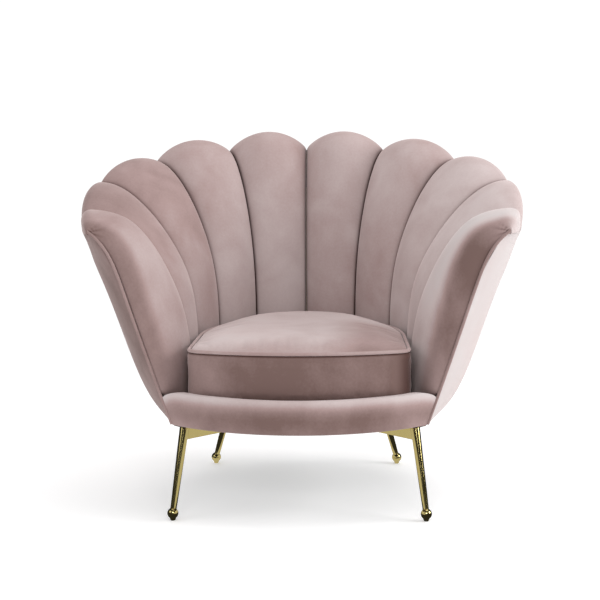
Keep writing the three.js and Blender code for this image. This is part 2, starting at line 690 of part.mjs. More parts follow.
function seatDeck() {
  const whole = loft([cushionLoop(DECK_INSET, DECK_BOTTOM), cushionLoop(DECK_INSET, DECK_TOP)]);
  const arc = (inset, sign) =>
    shares(APRON_STEPS).map((step) => bowPoint(BOW, sign * lerp(-1, 1, step), inset));
  const ahead = [...arc(APRON_DEPTH + TIMBER_CLEARANCE, 1), ...arc(-CUT_OVERRUN, -1)];
  return cut(whole, [prism(ahead, BASE_BOTTOM, APRON_TOP + CUT_OVERRUN)]);
}

// Webbing, stapled on the rails
function strap(from, to, bottom) {
  const along = to.clone().sub(from);
  const geometry = new THREE.BoxGeometry(along.length(), STRAP_WIDTH, STRAP_THICKNESS);
  const middle = from.clone().lerp(to, 0.5);
  return geometry.rotateZ(Math.atan2(along.y, along.x))
    .translate(middle.x, middle.y, bottom + STRAP_THICKNESS / 2);
}

function longStrap(x) {
  const edge = Math.abs(x) - STRAP_WIDTH / 2;
  const width = BASE_HALF_WIDTH - RAIL_INNER;
  const depth = BASE_BACK - BASE_CENTRE - RAIL_INNER;
  const rear = BASE_CENTRE + depth * Math.sqrt(1 - ((edge + STRAP_WIDTH) / width) ** 2) + STRAP_LAP;
  const arc = BOW.radius - APRON_DEPTH - TIMBER_CLEARANCE - FRONT_RAIL_THICKNESS;
  const front = BOW.centre - Math.sqrt(arc ** 2 - edge ** 2) - STRAP_LAP;
  return strap(new THREE.Vector2(x, front), new THREE.Vector2(x, rear), RAIL_TOP + GAP);
}

function crossStrap(y) {
  const reach = SEAT_HALF_WIDTH + STRAP_LAP;
  const bottom = RAIL_TOP + 2 * GAP + STRAP_THICKNESS;
  return strap(new THREE.Vector2(-reach, y), new THREE.Vector2(reach, y), bottom);
}

// Leg frame. Each corner has a splayed leg, a plate, a screw and the end of a bar.
const BAR_TOP = BASE_BOTTOM - PLATE_THICKNESS - 2 * GAP;
const BAR_BOTTOM = BAR_TOP - BAR_HEIGHT;

function corner(foot, top, side) {
  const other = top === FRONT_LEG_TOP ? REAR_LEG_TOP : FRONT_LEG_TOP;
  const sign = side === 'left' ? -1 : 1;
  const placed = (point, turn) => new THREE.Vector2(turn * point.x, point.y);
  const head = placed(top, sign);
  const inboard = placed(other, -sign).sub(head).normalize();
  return { foot: placed(foot, sign), head, inboard, front: top === FRONT_LEG_TOP };
}

const CORNERS = {
  front_left: corner(FRONT_FOOT, FRONT_LEG_TOP, 'left'),
  front_right: corner(FRONT_FOOT, FRONT_LEG_TOP, 'right'),
  rear_left: corner(REAR_FOOT, REAR_LEG_TOP, 'left'),
  rear_right: corner(REAR_FOOT, REAR_LEG_TOP, 'right'),
};

// A tapered round shaft between two points, grown by a clearance
function shaft(low, high, lowRadius, highRadius, grown = 0, sides = ROUND_SIDES) {
  const along = high.clone().sub(low);
  const geometry = new THREE.CylinderGeometry(highRadius + grown, lowRadius + grown, along.length(), sides);
  geometry.translate(0, along.length() / 2, 0);
  geometry.applyQuaternion(new THREE.Quaternion().setFromUnitVectors(vector(0, 1, 0), along.normalize()));
  return geometry.translate(low.x, low.y, low.z);
}

function legShaft({ foot, head }, grown = 0) {
  const low = vector(foot.x, foot.y, BALL_HEIGHT);
  const high = vector(head.x, head.y, BASE_BOTTOM);
  return shaft(low, high, LEG_ANKLE_RADIUS, LEG_TOP_RADIUS, grown);
}

function ballFoot({ foot }) {
  const neck = BALL_HEIGHT - Math.sqrt(BALL_RADIUS ** 2 - TIP_NECK_RADIUS ** 2);
  const start = -Math.acos(TIP_NECK_RADIUS / BALL_RADIUS);
  const ball = shares(BALL_STEPS).map((step) => {
    const turn = lerp(start, Math.PI / 2, step);
    return new THREE.Vector2(BALL_RADIUS * Math.cos(turn), BALL_HEIGHT + BALL_RADIUS * Math.sin(turn));
  });
  ball[0].set(TIP_NECK_RADIUS, neck);
  ball[ball.length - 1].x = 0;
  const profile = [new THREE.Vector2(0, 0), new THREE.Vector2(TIP_RADIUS, 0), ...ball];
  return new THREE.LatheGeometry(profile, ROUND_SIDES).rotateX(Math.PI / 2).translate(foot.x, foot.y, 0);
}

function slab(centre, along, length, width, bottom, top) {
  return new THREE.BoxGeometry(length, width, top - bottom).rotateZ(Math.atan2(along.y, along.x))
    .translate(centre.x, centre.y, (bottom + top) / 2);
}

function leg(place) {
  const whole = joined(legShaft(place), ballFoot(place));
  const size = 2 * PLATE_WIDTH;
  return cut(whole, [slab(place.head, place.inboard, size, size, BAR_TOP, BASE_BOTTOM + CUT_OVERRUN)]);
}

function screwPoint({ head, inboard, front }) {
  const reach = front ? FRONT_SCREW_REACH : -REAR_SCREW_REACH;
  const side = new THREE.Vector2(-inboard.y, inboard.x).multiplyScalar(SCREW_OFFSET);
  if (side.y > 0 === front) side.negate();
  return head.clone().addScaledVector(inboard, reach).add(side);
}

function screwShaft(place, radius, low, high) {
  const { x, y } = screwPoint(place);
  return shaft(vector(x, y, low), vector(x, y, high), radius, radius, 0, SCREW_SIDES);
}

const screwHole = (place) => screwShaft(place, SCREW_RADIUS + GAP, BASE_BOTTOM - CUT_OVERRUN,
  BASE_BOTTOM + SCREW_LENGTH + GAP);

function plate(place) {
  const long = place.front ? [PLATE_OUTBOARD, PLATE_INBOARD] : [PLATE_INBOARD, PLATE_OUTBOARD];
  const centre = place.head.clone().addScaledVector(place.inboard, (long[0] - long[1]) / 2);
  const top = BASE_BOTTOM - GAP;
  const length = PLATE_INBOARD + PLATE_OUTBOARD;
  const body = slab(centre, place.inboard, length, PLATE_WIDTH, top - PLATE_THICKNESS, top);
  return cut(body, [screwHole(place)]);
}

function screw(place) {
  const head = screwShaft(place, SCREW_HEAD_RADIUS, BAR_TOP - SCREW_HEAD_HEIGHT, BAR_TOP);
  const shank = screwShaft(place, SCREW_RADIUS, BAR_TOP - SCREW_HEAD_HEIGHT / 2, BASE_BOTTOM + SCREW_LENGTH);
  return joined(head, shank);
}

const withScrewHoles = (geometry, places) => cut(geometry, places.map(screwHole));

// A bar from a front leg to the opposite rear leg, halved where the two bars cross
function crossBar(frontPlace, rearPlace, notchUp) {
  const along = rearPlace.head.clone().sub(frontPlace.head);
  const middle = frontPlace.head.clone().lerp(rearPlace.head, 0.5);
  const bar = slab(middle, along, along.length(), BAR_THICKNESS, BAR_BOTTOM, BAR_TOP);
  const share = -frontPlace.head.x / along.x;
  const crossing = new THREE.Vector2(0, lerp(frontPlace.head.y, rearPlace.head.y, share));
  const level = (BAR_BOTTOM + BAR_TOP) / 2;
  const half = notchUp
    ? [level - GAP / 2, BAR_TOP + CUT_OVERRUN]
    : [BAR_BOTTOM - CUT_OVERRUN, level + GAP / 2];
  const mirroredAlong = new THREE.Vector2(-along.x, along.y);
  const notch = slab(crossing, mirroredAlong, PLATE_WIDTH, BAR_THICKNESS + 2 * GAP, half[0], half[1]);
  return cut(bar, [notch, legShaft(frontPlace, GAP), legShaft(rearPlace, GAP)]);
}

function dustCover() {
  const inset = COVER_THICKNESS + TIMBER_CLEARANCE;
  const last = channelAtY(RAIL_JOINT_Y, inset);
  const sides = shares(16).map((step) => coverPoint(lerp(-last, last, step), 0, inset));
  const face = APRON_DEPTH + TIMBER_CLEARANCE;
  const end = Math.acos((BOW.centre - RAIL_JOINT_Y) / (BOW.radius - face)) / BOW.angle;
  const front = shares(APRON_STEPS).map((step) => bowPoint(BOW, lerp(end, -end, step), face));
  const sheet = prism([...sides, ...front], BASE_BOTTOM, BASE_BOTTOM + DUST_COVER_THICKNESS);
  return withScrewHoles(sheet, Object.values(CORNERS));
}

// Finishes
const finish = (color, roughness, metalness = 0) =>
  new THREE.MeshStandardMaterial({ color: new THREE.Color(...color), roughness, metalness });
const VELVET = finish([0.50, 0.36, 0.35], 0.75);
const PIPING = finish([0.48, 0.34, 0.33], 0.75);
const BRASS = finish([0.80, 0.60, 0.28], 0.18, 1);
const BEECH = finish([0.70, 0.52, 0.34], 0.7);
const PLYWOOD = finish([0.75, 0.60, 0.42], 0.7);
const WEBBING = finish([0.25, 0.22, 0.20], 0.85);
const DECK_CLOTH = finish([0.40, 0.30, 0.30], 0.9);
const BLACK_CLOTH = finish([0.04, 0.04, 0.04], 0.95);
const ZINC = finish([0.65, 0.66, 0.68], 0.35, 1);

const chair = new THREE.Group();

function place(name, geometry, material) {
  const mesh = new THREE.Mesh(geometry, material);
  mesh.name = name;
  chair.add(mesh);
}

function placePair(name, geometry, material, ending = '') {
  place(`${name}_right${ending}`, geometry, material);
  place(`${name}_left${ending}`, mirrored(geometry), material);
}

for (let channel = 0; channel < CHANNELS; channel += 1) {
  placePair('channel_pad', channelPad(channel), VELVET, `_${channel + 1}`);
}
place('outside_back_cover', backCover(), VELVET);
placePair('outside_arm_cover', armCover(), VELVET);
placePair('arm_welt', armWelt(), PIPING);
place('front_rail_cover', apron(), VELVET);
place('seat_cushion', seatCushion(), VELVET);
place('seat_cushion_top_piping', piping(CUSHION_EDGE_HEIGHT), PIPING);
place('seat_cushion_bottom_piping', piping(LOWER_PIPING_HEIGHT), PIPING);
place('seat_deck', seatDeck(), DECK_CLOTH);

placePair('back_board', board(0, BACK_COVER_CHANNELS, DECK_BOTTOM), PLYWOOD);
placePair('arm_board', board(BACK_COVER_CHANNELS, LOBED_CHANNELS, DECK_BOTTOM), PLYWOOD);
placePair('arm_front_board', board(LOBED_CHANNELS, CHANNELS, APRON_TOP + EDGE_GAP), PLYWOOD);
for (let seam = 1; seam < CHANNELS; seam += 1) placePair('rib', rib(seam), BEECH, `_${seam}`);
placePair('rim_rail', rimRail(), BEECH);
const { front_left, front_right, rear_left, rear_right } = CORNERS;
place('base_front_rail', withScrewHoles(frontRail(), [front_left, front_right]), BEECH);
place('base_rear_rail', withScrewHoles(rearRail(), [rear_left, rear_right]), BEECH);
placePair('base_side_rail', sideRail(), BEECH);
LONG_STRAP_XS.forEach((x, i) => place(`webbing_long_${i + 1}`, longStrap(x), WEBBING));
CROSS_STRAP_YS.forEach((y, i) => place(`webbing_cross_${i + 1}`, crossStrap(y), WEBBING));
place('dust_cover', dustCover(), BLACK_CLOTH);

place('cross_bar_1', crossBar(front_left, rear_right, true), BRASS);
place('cross_bar_2', crossBar(front_right, rear_left, false), BRASS);
for (const [name, spot] of Object.entries(CORNERS)) {
  place(`leg_${name}`, leg(spot), BRASS);
  place(`leg_plate_${name}`, plate(spot), BRASS);
  place(`leg_screw_${name}`, screw(spot), ZINC);
}

// The origin is on the floor under the middle of the whole chair
const whole = new THREE.Box3().setFromObject(chair);
chair.position.y = -(whole.min.y + whole.max.y) / 2;

export default chair;
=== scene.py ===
import math

import bmesh
import bpy
import numpy as np
from mathutils import Matrix, Vector


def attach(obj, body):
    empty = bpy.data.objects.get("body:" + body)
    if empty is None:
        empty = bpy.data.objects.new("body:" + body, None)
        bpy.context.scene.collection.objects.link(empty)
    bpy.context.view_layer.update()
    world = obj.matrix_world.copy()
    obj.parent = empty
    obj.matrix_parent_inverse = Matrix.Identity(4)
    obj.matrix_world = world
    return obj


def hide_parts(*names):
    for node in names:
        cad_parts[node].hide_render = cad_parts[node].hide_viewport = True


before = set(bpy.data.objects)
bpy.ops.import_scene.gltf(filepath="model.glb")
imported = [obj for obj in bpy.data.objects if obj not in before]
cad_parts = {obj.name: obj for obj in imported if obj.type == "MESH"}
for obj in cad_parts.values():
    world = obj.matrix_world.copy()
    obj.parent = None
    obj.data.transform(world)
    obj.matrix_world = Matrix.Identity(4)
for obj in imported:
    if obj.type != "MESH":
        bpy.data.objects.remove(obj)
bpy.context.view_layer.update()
bpy.ops.object.select_all(action="DESELECT")

SHELL = "chair_shell"
CUSHION = "loose_cushion"
MM = 0.001

# The drawing's zero line lies this far behind the model's (mm)
DRAWING_SHIFT = 8.307

# Seams of the shell, in the drawing's millimetres
SEAT_PLAN = (257, 345, -102)
RIM_PLAN = (491, 405, -45)
SEAT_CHANNEL_SHARE = 0.13706
RIM_CHANNEL_SHARE = 0.14244
LOBED_CHANNELS = 4
CHANNELS = 5
PAD_BOTTOM = 272
RIM_HEIGHT = 784
RIM_FALL = 137.5
RIM_FALL_POWER = 2.21
FLARE_POWER = 3.15
RIM_ROUND_POWER = 6.7
RIM_ROLL = (16, 40)
RIM_TUCKS = [0, 0, 0, 2, 7]
SEAM_STEP = 0.01

# Welt down the front edge of each arm
WELT_RADIUS = 3.2
WELT_XS = (300, 449)
WELT_TOP_HEIGHT = 622
WELT_YS = (-300, -312, -300)
WELT_STRAIGHT_SHARE = 0.77
WELT_CURL_POWER = 11
WELT_ROLL = (3, 5)
WELT_END_SHARE = 1.02
WELT_SEAT_SHARES = [0, 0.9, 1.0, 2]
WELT_SEATS = [3.7, 3.7, 0.6, 0.6]
WELT_STEPS = 90

# The way from the welt into the wall, and what is added to it as the welt turns over at the tip
WELT_WALL = np.array([-0.1, 1, 0])
WELT_WALL_TURN = np.array([-0.6, -0.4, -0.5])
WELT_TURN_START, WELT_TURN_SPAN = 0.8, 0.4

# How proud each channel stands from its seams, and how far it reaches behind them
FULLNESS_SHARES = [0, 0.2, 0.35, 0.55, 0.85, 1, 1.4, 2]
LOBE_FULLNESSES = [
    [9, 11, 15, 22, 38.4, 48, 36, 13],
    [9, 11, 15, 22, 34.4, 43, 32, 13],
    [9, 11, 15, 22, 24.8, 31, 23, 13],
    [9, 11, 15, 22, 20, 25, 18.8, 13],
]
NOSE_FULLNESSES = [27, 33, 35, 42, 52, 27, 9, 4]
LOBE_POWERS = [0.75, 0.6, 0.85, 0.8]
POWER_SHARES = [0, 0.75, 1, 2]
NOSE_POWERS = [0.6, 0.55, 0.5, 0.6]
DEPTH_SHARES = [0, 0.6, 1, 1.4, 2]
PAD_DEPTHS = [20, 20, 6, 6, 8]
LEAST_SKIN = 2.5
SEAM_HALF_GAP = 0.3
SEAM_SINK = 5.0
SEAM_SINK_WIDTH = 1.8
# How dark the painted shade gets in a seam for how far the seam sinks
SEAM_SHADE_DARKNESS = 1.4
SIDES = ("right", "left")

# How light each channel is painted up its height, as painted light and shade: 0 is dark, 1 is light and
# 1.4 the palest, a painted sheen. A lobed channel's own value is added to its side's. The arm's pad has a
# face beside its seam and a band of painted shade beside its welt.
LIGHT_SHARES = [0, 0.3, 0.6, 0.85, 1.1, 2]
CHANNEL_LIGHT = {"right": (0.54, 0.56, 0.72, 0.76), "left": (0.64, 0.64, 0.42, 0.42)}
LOBE_LIGHT = {
    "right": [0.2, 0.17, 0.15, 0.2, 0.2, 0.1],
    "left": [0.25, 0.25, 0.14, 0.02, -0.1, -0.14],
}
NOSE_INNER_LIGHT = {
    "right": [0.8, 0.95, 1.1, 1.3, 1.3, 1.1],
    "left": [0.4, 0.6, 0.68, 0.6, 0.35, 0.3],
}
NOSE_BAND_LIGHT = {
    "right": [0.4, 0.2, 0.05, 0.0, 0.9, 1.1],
    "left": [0.4, 0.3, 0.2, 0.15, 0.25, 0.3],
}
NOSE_SHADE_BANDS = {"right": (0.55, 0.85), "left": (0.75, 0.92)}
LEFT_NOSE_SHADOW = 0.9
LEFT_NOSE_SHADOW_ACROSS = (0.35, 0.05)
LEFT_NOSE_SHADOW_UP = (0.3, 0.12)
WELT_LIGHT = {"right": 0.3, "left": 0.35}
HIDDEN_LIGHT = 0.5

# Pleats at the arm's tip: each one's place round the welt's end and its width, in radians, and its depth
TIP_PLEATS = [(0.15, 0.10, 2.2), (0.62, 0.12, 1.6), (-0.35, 0.10, 1.8)]
PLEAT_REACH = 26
PLEAT_START = (0.5, 6)
# The depth of a pleat (mm) at which its painted shade is full
PLEAT_FULL_SHADE_DEPTH = 2.4

# Lower ends of the pads, and the steps of their meshes
FOOT_DROPS = [17.2, 14, 7]
FOOT_SHRINKS = [0.3, 0.28, 0.18]
FOOT_SHRINK_YS = (-220, -290)
ACROSS_STEPS = 28
UP_SHARES = [*np.linspace(0, 0.86, 30), *np.linspace(0.88, 1, 8), *np.linspace(1, 2, 16)[1:]]
HELD_EDGE = 3

# Padded pieces blown up as cloth: the pressure, the frames and how far each may puff (m)
CLOTH_PRESSURE = 4.0
CLOTH_FRAMES = 20
PAD_PUFF = 0.003
RAIL_PUFF = 0.002
CUSHION_PUFF = 0.005
CUSHION_SLACK = 0.01

# Front rail
BASE_BOTTOM = 200
RAIL_FRONT = -400
RAIL_TOP = 270
RAIL_DEPTH = 32
SEAT_FRAME_TOP = 239
RAIL_BACK_TOP = SEAT_FRAME_TOP - 3
RAIL_LEDGE = SEAT_FRAME_TOP + 1
RAIL_END_TRIM = WELT_RADIUS - 0.5
RAIL_STEPS = [0, 0.0004, 0.0016, *np.linspace(0.005, 0.995, 127), 0.9984, 0.9996, 1]
RAIL_HELD_STEPS = 5
RAIL_PROFILE = [0, 0.02, 0.06, 0.14, 0.27, 0.42, 0.56, 0.68, 0.78, 0.86, 0.92, 0.965, 0.99, 1]
RAIL_PROFILE_RECESSES = [6, 3.5, 1.6, -0.6, -2.6, -3.5, -3.4, -2.6, -1.2, 1, 3.6, 6.8, 10, 13.5]
RAIL_ROLL_SHARES = [0, 0.4, 0.75, 0.88, 0.95, 1]
RAIL_ROLL_RISES = [3.5, 4.5, 7, 7.5, 2, -7]
# Painted light on the rail's face, up its height: a lit top roll over painted shade across its middle.
# Its ends, lip and back get their own values.
RAIL_LIGHT_HEIGHTS = [0, 0.2, 0.45, 0.7, 0.9, 1]
RAIL_LIGHT = [0.12, 0.05, 0.02, 0.25, 0.8, 0.95]
RAIL_END_LIGHT = 0.3
RAIL_LIP_LIGHT = 0.9
RAIL_BACK_LIGHT = 0.3
RAIL_LIP_SHARES = [0, 0.5, 0.75, 1]
RAIL_LIP_DEPTHS = [30, 23, 10.5, 10.5]
RAIL_LIP_ROUND = [(0.55, 0.2), (0.85, 2.5), (1, 8)]
RAIL_LIP_FOOT = 251

# Seat cushion
CUSHION_HALF_WIDTH = 238
CUSHION_FRONT_HALF_WIDTH = 241.5
CUSHION_DEPTH = 318
CUSHION_SIDE_FRONT = -311
CUSHION_MIDDLE = (CUSHION_SIDE_FRONT + SEAT_PLAN[2] + CUSHION_DEPTH) / 2
CUSHION_BOW = 47
CUSHION_CORNER = 26
CUSHION_BOTTOM = 254.3
CUSHION_EDGE_HEIGHT = 366
CUSHION_CROWN = 22.5
CUSHION_CROWN_POWER = 6
CUSHION_DRAW_IN = 5
PIPING_RADIUS = 4.5
PIPING_GAP = 0.3
PIPING_INSET = 0.6
# The pipings' painted light value
PIPING_LIGHT = 0.55
BOWED_STEPS, CORNER_STEPS, SIDE_STEPS, ROUND_STEPS = 28, 8, 22, 46
CROWN_SIZES = (0.995, 0.985, 0.97, 0.94, 0.9, 0.84, 0.76, 0.66, 0.54, 0.4, 0.26, 0.12, 0.03)
BOXING_SHARES = (0.02, 0.12, 0.25, 0.4, 0.55, 0.7, 0.85, 0.95)
UNDERSIDE_SIZES = (0.05, 0.5, 1.0)
CUSHION_VOXEL = 0.0055
HELD_BAND = 6
TUCK_BAND = (-22, -1.5)
TUCK_BLEND = (-22, -13)
TUCK_REACH = 12
TUCK_HEIGHTS = [-13, -9, -6.5, -5.2, -4.4, -3]
TUCK_INSETS = [0.9, 1.5, 2.1, 2.7, 4.0, 9.3]

# The cushion's painted light and shade: the boxing's painted light along its width, darkest at its right
# end, and how strong each painted shadow is and between which places it comes in
BOXING_XS = [-240, -150, 0, 130, 185, 215, 236]
BOXING_LIGHT = [0.25, 0.12, 0.04, 0.04, 0.05, -0.1, -0.3]
RIGHT_SHADOW, RIGHT_SHADOW_XS, RIGHT_SHADOW_YS = 0.5, (40, 150), (20, -120)
FRONT_SHADOW, FRONT_SHADOW_YS = 0.3, (-270, -340)
END_SHADOW, END_SHADOW_XS, END_SHADOW_YS = 0.75, (205, 234), (-200, -290)
PIPING_SHADOW, PIPING_SHADOW_DROPS = 0.8, (9, 5)
# How far the normal must face up for the top to be painted lighter than the sides
TOP_FACING = (0.25, 0.65)

# Angles in degrees above which an edge stays sharp, or gets a bevel
CORD_SHARPNESS = 60
CLOTH_SHARPNESS = 50
METAL_SHARPNESS = 35
BEVELLED_ANGLE = 40


def to_model(points):
    """Points of the drawing, in millimetres, as points of the model, in metres."""
    placed = np.array(points, float)
    placed[..., 1] += DRAWING_SHIFT
    return placed * MM


def lerp(a, b, share):
    return a + (b - a) * share


def ramp(value, low, high):
    """Eases from 0 at low to 1 at high, which may be the lower number."""
    share = np.clip((value - low) / (high - low), 0, 1)
    return share * share * (3 - 2 * share)


def through(marks, values, at):
    """A smooth curve through values at rising marks."""
    at = min(max(at, marks[0]), marks[-1])
    i = next((k for k in range(len(marks) - 1) if at <= marks[k + 1]), len(marks) - 2)

    def slope(j):
        a, b = max(j - 1, 0), min(j + 1, len(marks) - 1)
        return (values[b] - values[a]) / (marks[b] - marks[a])

    span = marks[i + 1] - marks[i]
    t = (at - marks[i]) / span
    ends = values[i] * (1 + 2 * t) * (1 - t) ** 2 + values[i + 1] * t * t * (3 - 2 * t)
    return ends + span * (slope(i) * t * (1 - t) ** 2 - slope(i + 1) * t * t * (1 - t))


def unit(v):
    return v / np.linalg.norm(v)


# Seam lines of the shell
def plan_point(plan, share):
    """The point of a half ellipse at a share of its length from the middle of the back."""
    half_width, depth, centre = plan
    turns = np.linspace(np.pi / 2, -np.pi / 2, 201)
    line = np.stack([half_width * np.cos(turns), centre + depth * np.sin(turns)], 1)
    lengths = np.r_[0, np.cumsum(np.linalg.norm(np.diff(line, axis=0), axis=1))]
    turn = np.interp(share * lengths[-1], lengths, turns)
    return np.array([half_width * math.cos(turn), centre + depth * math.sin(turn)])


def rim_height(channel):
    return RIM_HEIGHT - RIM_FALL * (channel / LOBED_CHANNELS) ** RIM_FALL_POWER


def lobed_seam(seam):
    """A seam's foot and rim in plan, its height at the rim and its way out."""
    foot = plan_point(SEAT_PLAN, seam * SEAT_CHANNEL_SHARE)
    rim = plan_point(RIM_PLAN, seam * RIM_CHANNEL_SHARE)
    return foot, rim, rim_height(seam), unit(rim - foot)


SEAMS = [lobed_seam(seam) for seam in range(CHANNELS)]


def lobed_seam_point(seam, share):
    """A point of a seam: share 0 is its foot, 1 the rim, and 2 the end of the roll over the rim."""
    foot, rim, top, out = SEAMS[seam]
    inner = min(max(share, 0), 1)
    turn = max(share - 1, 0) * math.pi / 2
    rise = inner + inner ** RIM_ROUND_POWER * (1 - inner)
    reach = RIM_ROLL[0] * math.sin(turn) - RIM_TUCKS[seam] * (1 - math.cos(turn))
    plan = lerp(foot, rim, inner ** FLARE_POWER) + out * reach
    height = lerp(PAD_BOTTOM, top, rise) - RIM_ROLL[1] * (1 - math.cos(turn))
    return np.array([*plan, height])


def welt_point(share):
    """A point of the arm's welt, with the same shares."""
    inner = min(share, 1)
    turn = max(share - 1, 0) * math.pi / 2
    curl = WELT_STRAIGHT_SHARE * inner + (1 - WELT_STRAIGHT_SHARE) * max(inner, 0) ** WELT_CURL_POWER
    bow = WELT_YS[1] - (WELT_YS[0] + WELT_YS[2]) / 2
    y = lerp(WELT_YS[0], WELT_YS[2], inner) + 4 * bow * inner * (1 - inner)
    x = lerp(*WELT_XS, curl) + WELT_ROLL[0] * math.sin(turn)
    z = lerp(PAD_BOTTOM, WELT_TOP_HEIGHT, inner) - WELT_ROLL[1] * (1 - math.cos(turn))
    return np.array([x, y, z])


def welt_share_at(z):
    return (z - PAD_BOTTOM) / (WELT_TOP_HEIGHT - PAD_BOTTOM)


def seam_point(seam, share):
    return welt_point(share) if seam == CHANNELS else lobed_seam_point(seam, share)


def into_wall(seam, share):
    """Unit direction from a seam into the wall of the shell."""
    if seam == CHANNELS:
        turn = min(max((share - WELT_TURN_START) / WELT_TURN_SPAN, 0), 1)
        turn = turn * turn * (3 - 2 * turn)
        return unit(WELT_WALL + turn * WELT_WALL_TURN)
    before = lobed_seam_point(seam, max(share - SEAM_STEP, 0))
    after = lobed_seam_point(seam, min(share + SEAM_STEP, 2))
    along, out = after - before, SEAMS[seam][3]
    return unit(np.array([*(along[2] * out), -(along[0] * out[0] + along[1] * out[1])]))


def facing(channel, share, across):
    """Unit direction in which a channel's face looks."""
    def at(s):
        return lerp(seam_point(channel, s), seam_point(channel + 1, s), across)
    along = at(min(share + SEAM_STEP, 2)) - at(max(share - SEAM_STEP, 0))
    over = seam_point(channel + 1, share) - seam_point(channel, share)
    return unit(np.cross(over, along))


# Mesh helpers
def new_object(name, data):
    made = bpy.data.objects.new(name, data)
    bpy.context.collection.objects.link(made)
    return made


def new_piece(name, points, faces):
    mesh = bpy.data.meshes.new(name)
    mesh.from_pydata([tuple(p) for p in points], [], faces)
    return new_object(name, mesh)


def recalculate_normals(piece):
    shape = bmesh.new()
    shape.from_mesh(piece.data)
    bmesh.ops.recalc_face_normals(shape, faces=shape.faces)
    shape.to_mesh(piece.data)
    shape.free()


def skin(name, rows):
    """A closed body through rows of points. Each row's second half runs back under its first."""
    rows = np.asarray(rows)
    count, size = rows.shape[:2]
    last = (count - 1) * size
    faces = [(a + j, a + size + j, a + size + (j + 1) % size, a + (j + 1) % size)
             for a in range(0, last, size) for j in range(size)]
    faces += [(start + j, start + j + 1, start + size - 2 - j, start + size - 1 - j)
              for start in (0, last) for j in range(size // 2 - 1)]
    piece = new_piece(name, to_model(rows.reshape(-1, 3)), faces)
    recalculate_normals(piece)
    return piece


def choose(piece):
    bpy.ops.object.select_all(action="DESELECT")
    piece.select_set(True)
    bpy.context.view_layer.objects.active = piece


def finish_with(piece, kind, **settings):
    """Adds a modifier to a piece and applies it."""
    modifier = piece.modifiers.new(kind.lower(), kind)
    for key, value in settings.items():
        setattr(modifier, key, value)
    choose(piece)
    bpy.ops.object.modifier_apply(modifier=modifier.name)


def smooth(piece, angle=None):
    choose(piece)
    if angle is None:
        bpy.ops.object.shade_smooth()
    else:
        bpy.ops.object.shade_smooth_by_angle(angle=math.radians(angle))


def paint(piece, **values):
    """Keeps the painted light and the painted shade of a piece, point by point."""
    for name, value in values.items():
        attribute = piece.data.attributes.new(name, "FLOAT", "POINT")
        each = np.broadcast_to(np.asarray(value, np.float32), len(piece.data.vertices))
        attribute.data.foreach_set("value", np.ascontiguousarray(each))


def painted(piece, name):
    values = np.empty(len(piece.data.vertices), np.float32)
    piece.data.attributes[name].data.foreach_get("value", values)
    return values


def repaint(piece, name, values):
    piece.data.attributes[name].data.foreach_set("value", np.ascontiguousarray(values, np.float32))


def points_of(piece):
    """A piece's points in the drawing's millimetres, and its normals."""
    count = len(piece.data.vertices)
    places, normals = np.empty(count * 3), np.empty(count * 3)
    piece.data.vertices.foreach_get("co", places)
    piece.data.vertices.foreach_get("normal", normals)
    places = places.reshape(-1, 3) / MM
    places[:, 1] -= DRAWING_SHIFT
    return places, normals.reshape(-1, 3)


def move_points(piece, moved):
    """Moves a piece's points by millimetres."""
    places, _ = points_of(piece)
    piece.data.vertices.foreach_set("co", to_model(places + moved).ravel())
    piece.data.update()


def mirrored(piece, name):
    """The same piece on the other side of the chair."""
    twin = new_object(name, piece.data.copy())
    twin.data.name = name
    twin.data.transform(Matrix.Scale(-1, 4, (1, 0, 0)))
    twin.data.flip_normals()
    return twin


def inflate(piece, held, most, slack=0.0):
    """Blows a padded piece up as cloth, with some points held, and caps how far a point moves (m)."""
    group = piece.vertex_groups.new(name="held")
    for i in np.flatnonzero(held > 0):
        group.add([int(i)], float(held[i]), "REPLACE")
    cloth = piece.modifiers.new("cloth", "CLOTH")
    cloth.settings.vertex_group_mass = "held"
    cloth.settings.use_pressure = True
    cloth.settings.uniform_pressure_force = CLOTH_PRESSURE
    cloth.settings.effector_weights.gravity = 0
    cloth.settings.shrink_min = -slack
    cloth.point_cache.frame_start = 1
    cloth.point_cache.frame_end = CLOTH_FRAMES
    scene = bpy.context.scene
    for frame_number in range(1, CLOTH_FRAMES + 1):
        scene.frame_set(frame_number)
    evaluated = piece.evaluated_get(bpy.context.evaluated_depsgraph_get())
    count = len(piece.data.vertices)
    before, after = np.empty(count * 3), np.empty(count * 3)
    piece.data.vertices.foreach_get("co", before)
    evaluated.data.vertices.foreach_get("co", after)
    moved = (after - before).reshape(-1, 3)
    length = np.linalg.norm(moved, axis=1, keepdims=True)
    moved *= np.minimum(1, most / np.maximum(length, 1e-9))
    piece.modifiers.remove(cloth)
    piece.data.vertices.foreach_set("co", before + moved.ravel())
    piece.data.update()
    piece.vertex_groups.clear()
    scene.frame_set(1)


def put_on(piece, body, nodes, material):
    """Gives a piece its finish and its body, and hides the CAD nodes that it stands for."""
    piece.data.materials.clear()
    piece.data.materials.append(material)
    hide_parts(*nodes)
    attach(piece, body)


# Shader helpers
class Value:
    """A number that a shader works out over a surface."""

    def __init__(self, finish, socket):
        self.finish, self.socket = finish, socket

    def math(self, operation, first, second):
        node = self.finish.node("ShaderNodeMath", {"operation": operation}, {0: first, 1: second})
        return Value(self.finish, node.outputs[0])

    def __add__(self, other):
        return self.math("ADD", self, other)

    def __sub__(self, other):
        return self.math("SUBTRACT", self, other)

    def __rsub__(self, other):
        return self.math("SUBTRACT", other, self)

    def __mul__(self, other):
        return self.math("MULTIPLY", self, other)

    __radd__, __rmul__ = __add__, __mul__


